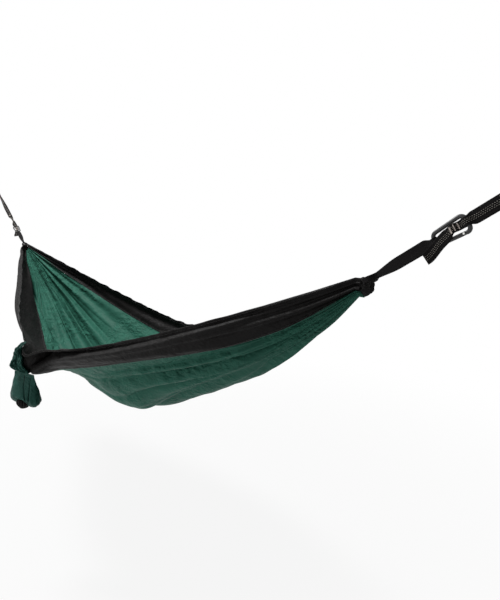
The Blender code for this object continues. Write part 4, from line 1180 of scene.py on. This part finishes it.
def flap_mesh():
    """A soft closed roll down the side's outside: rings whose size and folds vary downwards.

    Ridged folds are the absolute value of slow waves, so that they have sharp crests.
    """
    share = np.linspace(0, 1, 110)[:, None]
    turn = full_turn(160)
    closing = np.sqrt(1 - 0.97 * np.abs(2 * share - 1) ** (6 + 6 * share))
    grown = ease(share, 0, 0.7)
    width = (16 + 26 * grown) * MM * closing
    depth = 24 * MM * (0.35 + 0.65 * grown) * closing * (1 - 0.5 * ease(share, 0.6, 1))
    round_x, round_y = np.cos(turn), np.sin(turn)
    ridges = np.abs(waves(21, 9, 0.8, 2.6, share * 2.0, round_x, round_y))
    creases = waves(22, 16, 2.5, 8.0, share * 2.0, round_x, round_y)
    fold = 1 + 0.10 * np.cos(5 * turn + 7 * share) + 0.24 * (0.7 - ridges) + 0.05 * creases
    x = FLAP_START + FLAP_SLANT * share + width * fold * round_x
    top = smooth_bed(np.array(FLAP_START / BED_HALF), np.array(0.0))[0][2] + 10 * MM
    z = top - share * FLAP_HEIGHT + 0 * x
    y = side_face(x, z) - depth * fold * (1 - round_y)
    z = z + 3 * MM * creases * (1 - round_y) * closing * 0.3
    points = np.stack([x + ORIGIN[0], y, z + ORIGIN[2]], -1)
    return closed_skin("crumpled_flap", points, 0.16, share * FLAP_HEIGHT)


def seam_turns(share):
    """Where round the bag its two seams run: one straight down, one slanting towards it."""
    return 5.45 + 0 * share, 4.70 + 0.65 * share


def bag_points(share, turn, lift=0.0):
    """The bag: flattened rings that swell from the top line and close round the mouth.

    Long folds, cosines of the turn, deepen towards the mouth, and two lobes sag beside it.
    """
    swell = 0.5 * ease(share, 0, 0.42) + 0.5 * ease(share, 0.25, 0.80)
    close = np.sqrt(1 - 0.97 * np.clip((share - 0.74) / 0.26, 0, 1) ** 2)
    half_width = (62 + 20 * swell) * MM * close
    half_depth = (1.3 + 36.7 * swell) * MM * close
    long_folds = ease(share, 0.55, 0.95) * (
        0.035 * np.cos(8 * turn + 2.5 * share + 0.6) + 0.04 * np.cos(15 * turn - 3 * share)
    )
    round_x, round_y = np.cos(turn), np.sin(turn)
    creases = 0.040 * waves(31, 18, 0.8, 4.0, share * 2.0, round_x, round_y)
    seam_dips = -0.12 * sum(bump(turn, place, 0.05) for place in seam_turns(share))
    seam_dips = seam_dips * ease(share, 0.02, 0.3)
    fold = 1 + long_folds + creases * ease(share, 0, 0.2) + seam_dips
    squared = np.abs(round_x) ** 0.85 * np.sign(round_x)
    x = half_width * fold * squared + lift * round_x - 3 * MM - 2 * MM * ease(share, 0.5, 1.0)
    y = half_depth * fold * round_y + lift * round_y
    right = bump(turn, -0.1, 0.8) + bump(turn, 2 * math.pi - 0.1, 0.8)
    left = bump(turn, math.pi + 0.3, 0.6)
    lobes = (18 * right + 9 * left) * MM * ease(share, 0.45, 0.85) * close**0.5
    z = -SACK_HEIGHT * share - lobes
    z = z + 16 * MM * bump(turn, 4.85, 0.6) * ease(share, 0.6, 0.95)
    return on_sack_line(x, y, z)


def on_sack_line(x, y, z):
    """Points of the bag, turned about Z by the top line's turn and moved to that line."""
    c, s = math.cos(SACK_TURN), math.sin(SACK_TURN)
    return np.stack([c * x - s * y, s * x + c * y, z + 0 * x], -1) + SACK_LINE


def bag_mesh():
    """The bag's skin, from its top line to its mouth."""
    share = np.concatenate([np.linspace(0, 0.8, 90), np.linspace(0.8, 0.998, 50)[1:]])[:, None]
    points = bag_points(share, full_turn(220))
    return closed_skin("sack_bag", points, 0.40, share * 0.18)


def sack_seams():
    """Stitches in the two seams' dips on the bag's front."""
    meshes = []
    share = np.linspace(0.05, 0.93, 300)
    for turn in seam_turns(share):
        line = bag_points(share, turn, 0.2 * MM)
        side = bag_points(share, turn + 0.02, 0.2 * MM) - line
        run = np.gradient(line, axis=0)
        at = sampled(along_line(line, 3.6 * MM), line, run, np.cross(side, run))
        meshes.append(stitches("seam", *at, 3.4 * MM, 3.2 * MM, 0.6 * MM))
    return joined(meshes, "sack_seams")


def mouth_mesh():
    """The black gathered casing: a short bulb, a power of a sine, with pleats round it."""
    share = np.linspace(0, 1, 40)[:, None]
    turn = full_turn(240)
    size = 0.46 + 0.54 * np.sin(math.pi * share**0.8) ** 0.7
    phase = 15 * turn + 1.1 * np.sin(2 * turn) + 1.2 * share
    pleat = 1 + 0.18 * (np.abs(np.sin(phase / 2)) - 0.5) + 0.06 * np.sin(3 * turn + 5 * share)
    x = 26 * MM * size * pleat * np.cos(turn) - 6 * MM
    y = 25 * MM * size * pleat * np.sin(turn) - 8 * MM
    z = -SACK_HEIGHT - (42 * share - 25) * MM + 0 * x
    return closed_skin("gathered_mouth", on_sack_line(x, y, z), 0.1, share * 0.024)


class HAMMOCK_OT_stuff_sack(bpy.types.Operator):
    """Makes the stuff sack: the crumpled flap on the hem, the bag and its gathered mouth."""

    bl_idname = "hammock.stuff_sack"
    bl_label = "Stuff Sack"
    bl_options = {"REGISTER", "UNDO"}

    def execute(self, context):
        finish = finishes()
        # The flap and the bag wear the sack's darker green, which is painted shade.
        flap = piece("crumpled_flap", flap_mesh(), finish["sack"], "hammock")
        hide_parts("sack_flap")
        bag = piece("sack_bag", bag_mesh(), finish["sack"], "sack")
        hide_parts("stuff_sack")
        piece("sack_seams", sack_seams(), finish["black"], "sack")
        mouth = piece("gathered_mouth", mouth_mesh(), finish["black"], "sack")
        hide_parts("sack_mouth_casing")
        return {"FINISHED"}


def make_floor(settings):
    """A square floor, whose colour is paper white far out and a little darker near."""
    height = ORIGIN[2] - settings.floor_drop
    side = np.linspace(-30, 30, 3)
    x, y = np.meshgrid(side, side, indexing="ij")
    points = np.stack([x + ORIGIN[0], y, 0 * x + height], -1)[::-1]
    mesh = surface("floor", points, np.stack([x, y], -1) / 60, smooth=False)
    made, shader, s = start_material("floor_paper", Roughness=0.9, Specular_IOR_Level=0.1)
    place = s.node("ShaderNodeTexCoord", out=3)
    grain = s.noise(place, 40.0)
    feed(shader, Base_Color=grain.mix((0.64, 0.64, 0.64), (0.68, 0.68, 0.68)))
    paper = s.node("ShaderNodeEmission", Color=(1, 1, 1, 1), Strength=1.0)
    centred = s.node("ShaderNodeMapping", Vector=place, Location=(-ORIGIN[0], 0, -height))
    spread = s.node("ShaderNodeVectorMath", {"operation": "LENGTH"}, 1, s0=centred)
    factor = seen_rays(s) * (spread.step(0.5, 3.6) * 0.10 + 0.90)
    mix_surface(s, factor, shader, paper, "Material Output")
    mesh.materials.append(made)
    placed("floor", mesh)


def make_light(settings):
    """An even sky, white to the camera, with one large lamp above and a weaker one in front."""
    world = bpy.data.worlds.new("soft_sky")
    world.use_nodes = True
    bpy.context.scene.world = world
    s = Shade(world.node_tree)
    plain = world.node_tree.nodes["Background"]
    plain.inputs["Color"].default_value = (1, 1, 1, 1)
    plain.inputs["Strength"].default_value = settings.sky
    paper = s.node("ShaderNodeBackground", Color=(1, 1, 1, 1), Strength=1.0)
    mix_surface(s, seen_rays(s), plain, paper, "World Output")
    for name, place, aim, size, share in LAMPS:
        lamp = bpy.data.lights.new(name, "AREA")
        lamp.size = size
        lamp.energy = settings.key * share
        holder = placed(name, lamp)
        holder.location = Vector(place) + Vector(ORIGIN)
        ray = Vector(aim) - Vector(place)
        holder.rotation_euler = ray.to_track_quat("-Z", "Y").to_euler()


def make_camera():
    """The camera at its place. Its level side and upward vectors are turned by the roll."""
    yaw, pitch, roll = CAMERA_TURNS
    reach = math.cos(pitch)
    forward = Vector((reach * math.cos(yaw), reach * math.sin(yaw), math.sin(pitch)))
    level = Vector((math.sin(yaw), -math.cos(yaw), 0))
    upward = level.cross(forward)
    right = level * math.cos(roll) + upward * math.sin(roll)
    up = upward * math.cos(roll) - level * math.sin(roll)
    lens = bpy.data.cameras.new("photo_camera")
    lens.lens = CAMERA_LENS
    lens.clip_end = 100
    holder = placed("photo_camera", lens)
    place = Matrix.Translation(Vector(CAMERA_PLACE) + Vector(ORIGIN))
    holder.matrix_world = place @ Matrix((right, up, -forward)).transposed().to_4x4()
    bpy.context.scene.camera = holder


class HAMMOCK_OT_stage(bpy.types.Operator):
    """Makes the pale floor, the soft light and the camera at the photograph's angle."""

    bl_idname = "hammock.stage"
    bl_label = "Stage"
    bl_options = {"REGISTER", "UNDO"}

    def execute(self, context):
        settings = context.scene.hammock_stage
        make_floor(settings)
        make_light(settings)
        make_camera()
        context.scene.view_settings.view_transform = "Standard"
        return {"FINISHED"}


class HAMMOCK_PT_looks(bpy.types.Panel):
    """Lists the hammock's pieces and their settings in the sidebar."""

    bl_idname = "HAMMOCK_PT_looks"
    bl_label = "Hammock"
    bl_space_type = "VIEW_3D"
    bl_region_type = "UI"
    bl_category = "Hammock"

    def draw(self, context):
        for title, group, operators in PANEL_SECTIONS:
            box = self.layout.box()
            box.label(text=title)
            settings = getattr(context.scene, group)
            for key in settings.__annotations__:
                box.prop(settings, key)
            for operator in operators:
                box.operator(operator)


PANEL_SECTIONS = (
    ("Cloth", "hammock_cloth", ("hammock.bed", "hammock.end_channels", "hammock.stuff_sack")),
    (
        "Suspension", "hammock_suspension",
        ("hammock.webbing_loops", "hammock.tree_straps", "hammock.carabiners"),
    ),
    ("Stage", "hammock_stage", ("hammock.stage",)),
)

CLASSES = (
    ClothSettings, SuspensionSettings, StageSettings, HAMMOCK_OT_bed, HAMMOCK_OT_end_channels,
    HAMMOCK_OT_webbing_loops, HAMMOCK_OT_tree_straps, HAMMOCK_OT_carabiners,
    HAMMOCK_OT_stuff_sack, HAMMOCK_OT_stage, HAMMOCK_PT_looks,
)


def register():
    """Registers the classes, and gives the scene their settings."""
    for each in CLASSES:
        bpy.utils.register_class(each)
    bpy.types.Scene.hammock_cloth = bpy.props.PointerProperty(type=ClothSettings)
    bpy.types.Scene.hammock_suspension = bpy.props.PointerProperty(type=SuspensionSettings)
    bpy.types.Scene.hammock_stage = bpy.props.PointerProperty(type=StageSettings)


def unregister():
    """Takes the settings and the classes away again."""
    for name in ("hammock_cloth", "hammock_suspension", "hammock_stage"):
        delattr(bpy.types.Scene, name)
    for each in reversed(CLASSES):
        bpy.utils.unregister_class(each)


def main():
    """Makes the stage and every piece."""
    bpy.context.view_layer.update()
    register()
    bpy.ops.hammock.stage()
    bpy.ops.hammock.bed()
    bpy.ops.hammock.end_channels()
    bpy.ops.hammock.webbing_loops()
    bpy.ops.hammock.tree_straps()
    bpy.ops.hammock.carabiners()
    bpy.ops.hammock.stuff_sack()


if __name__ == "__main__":
    main()
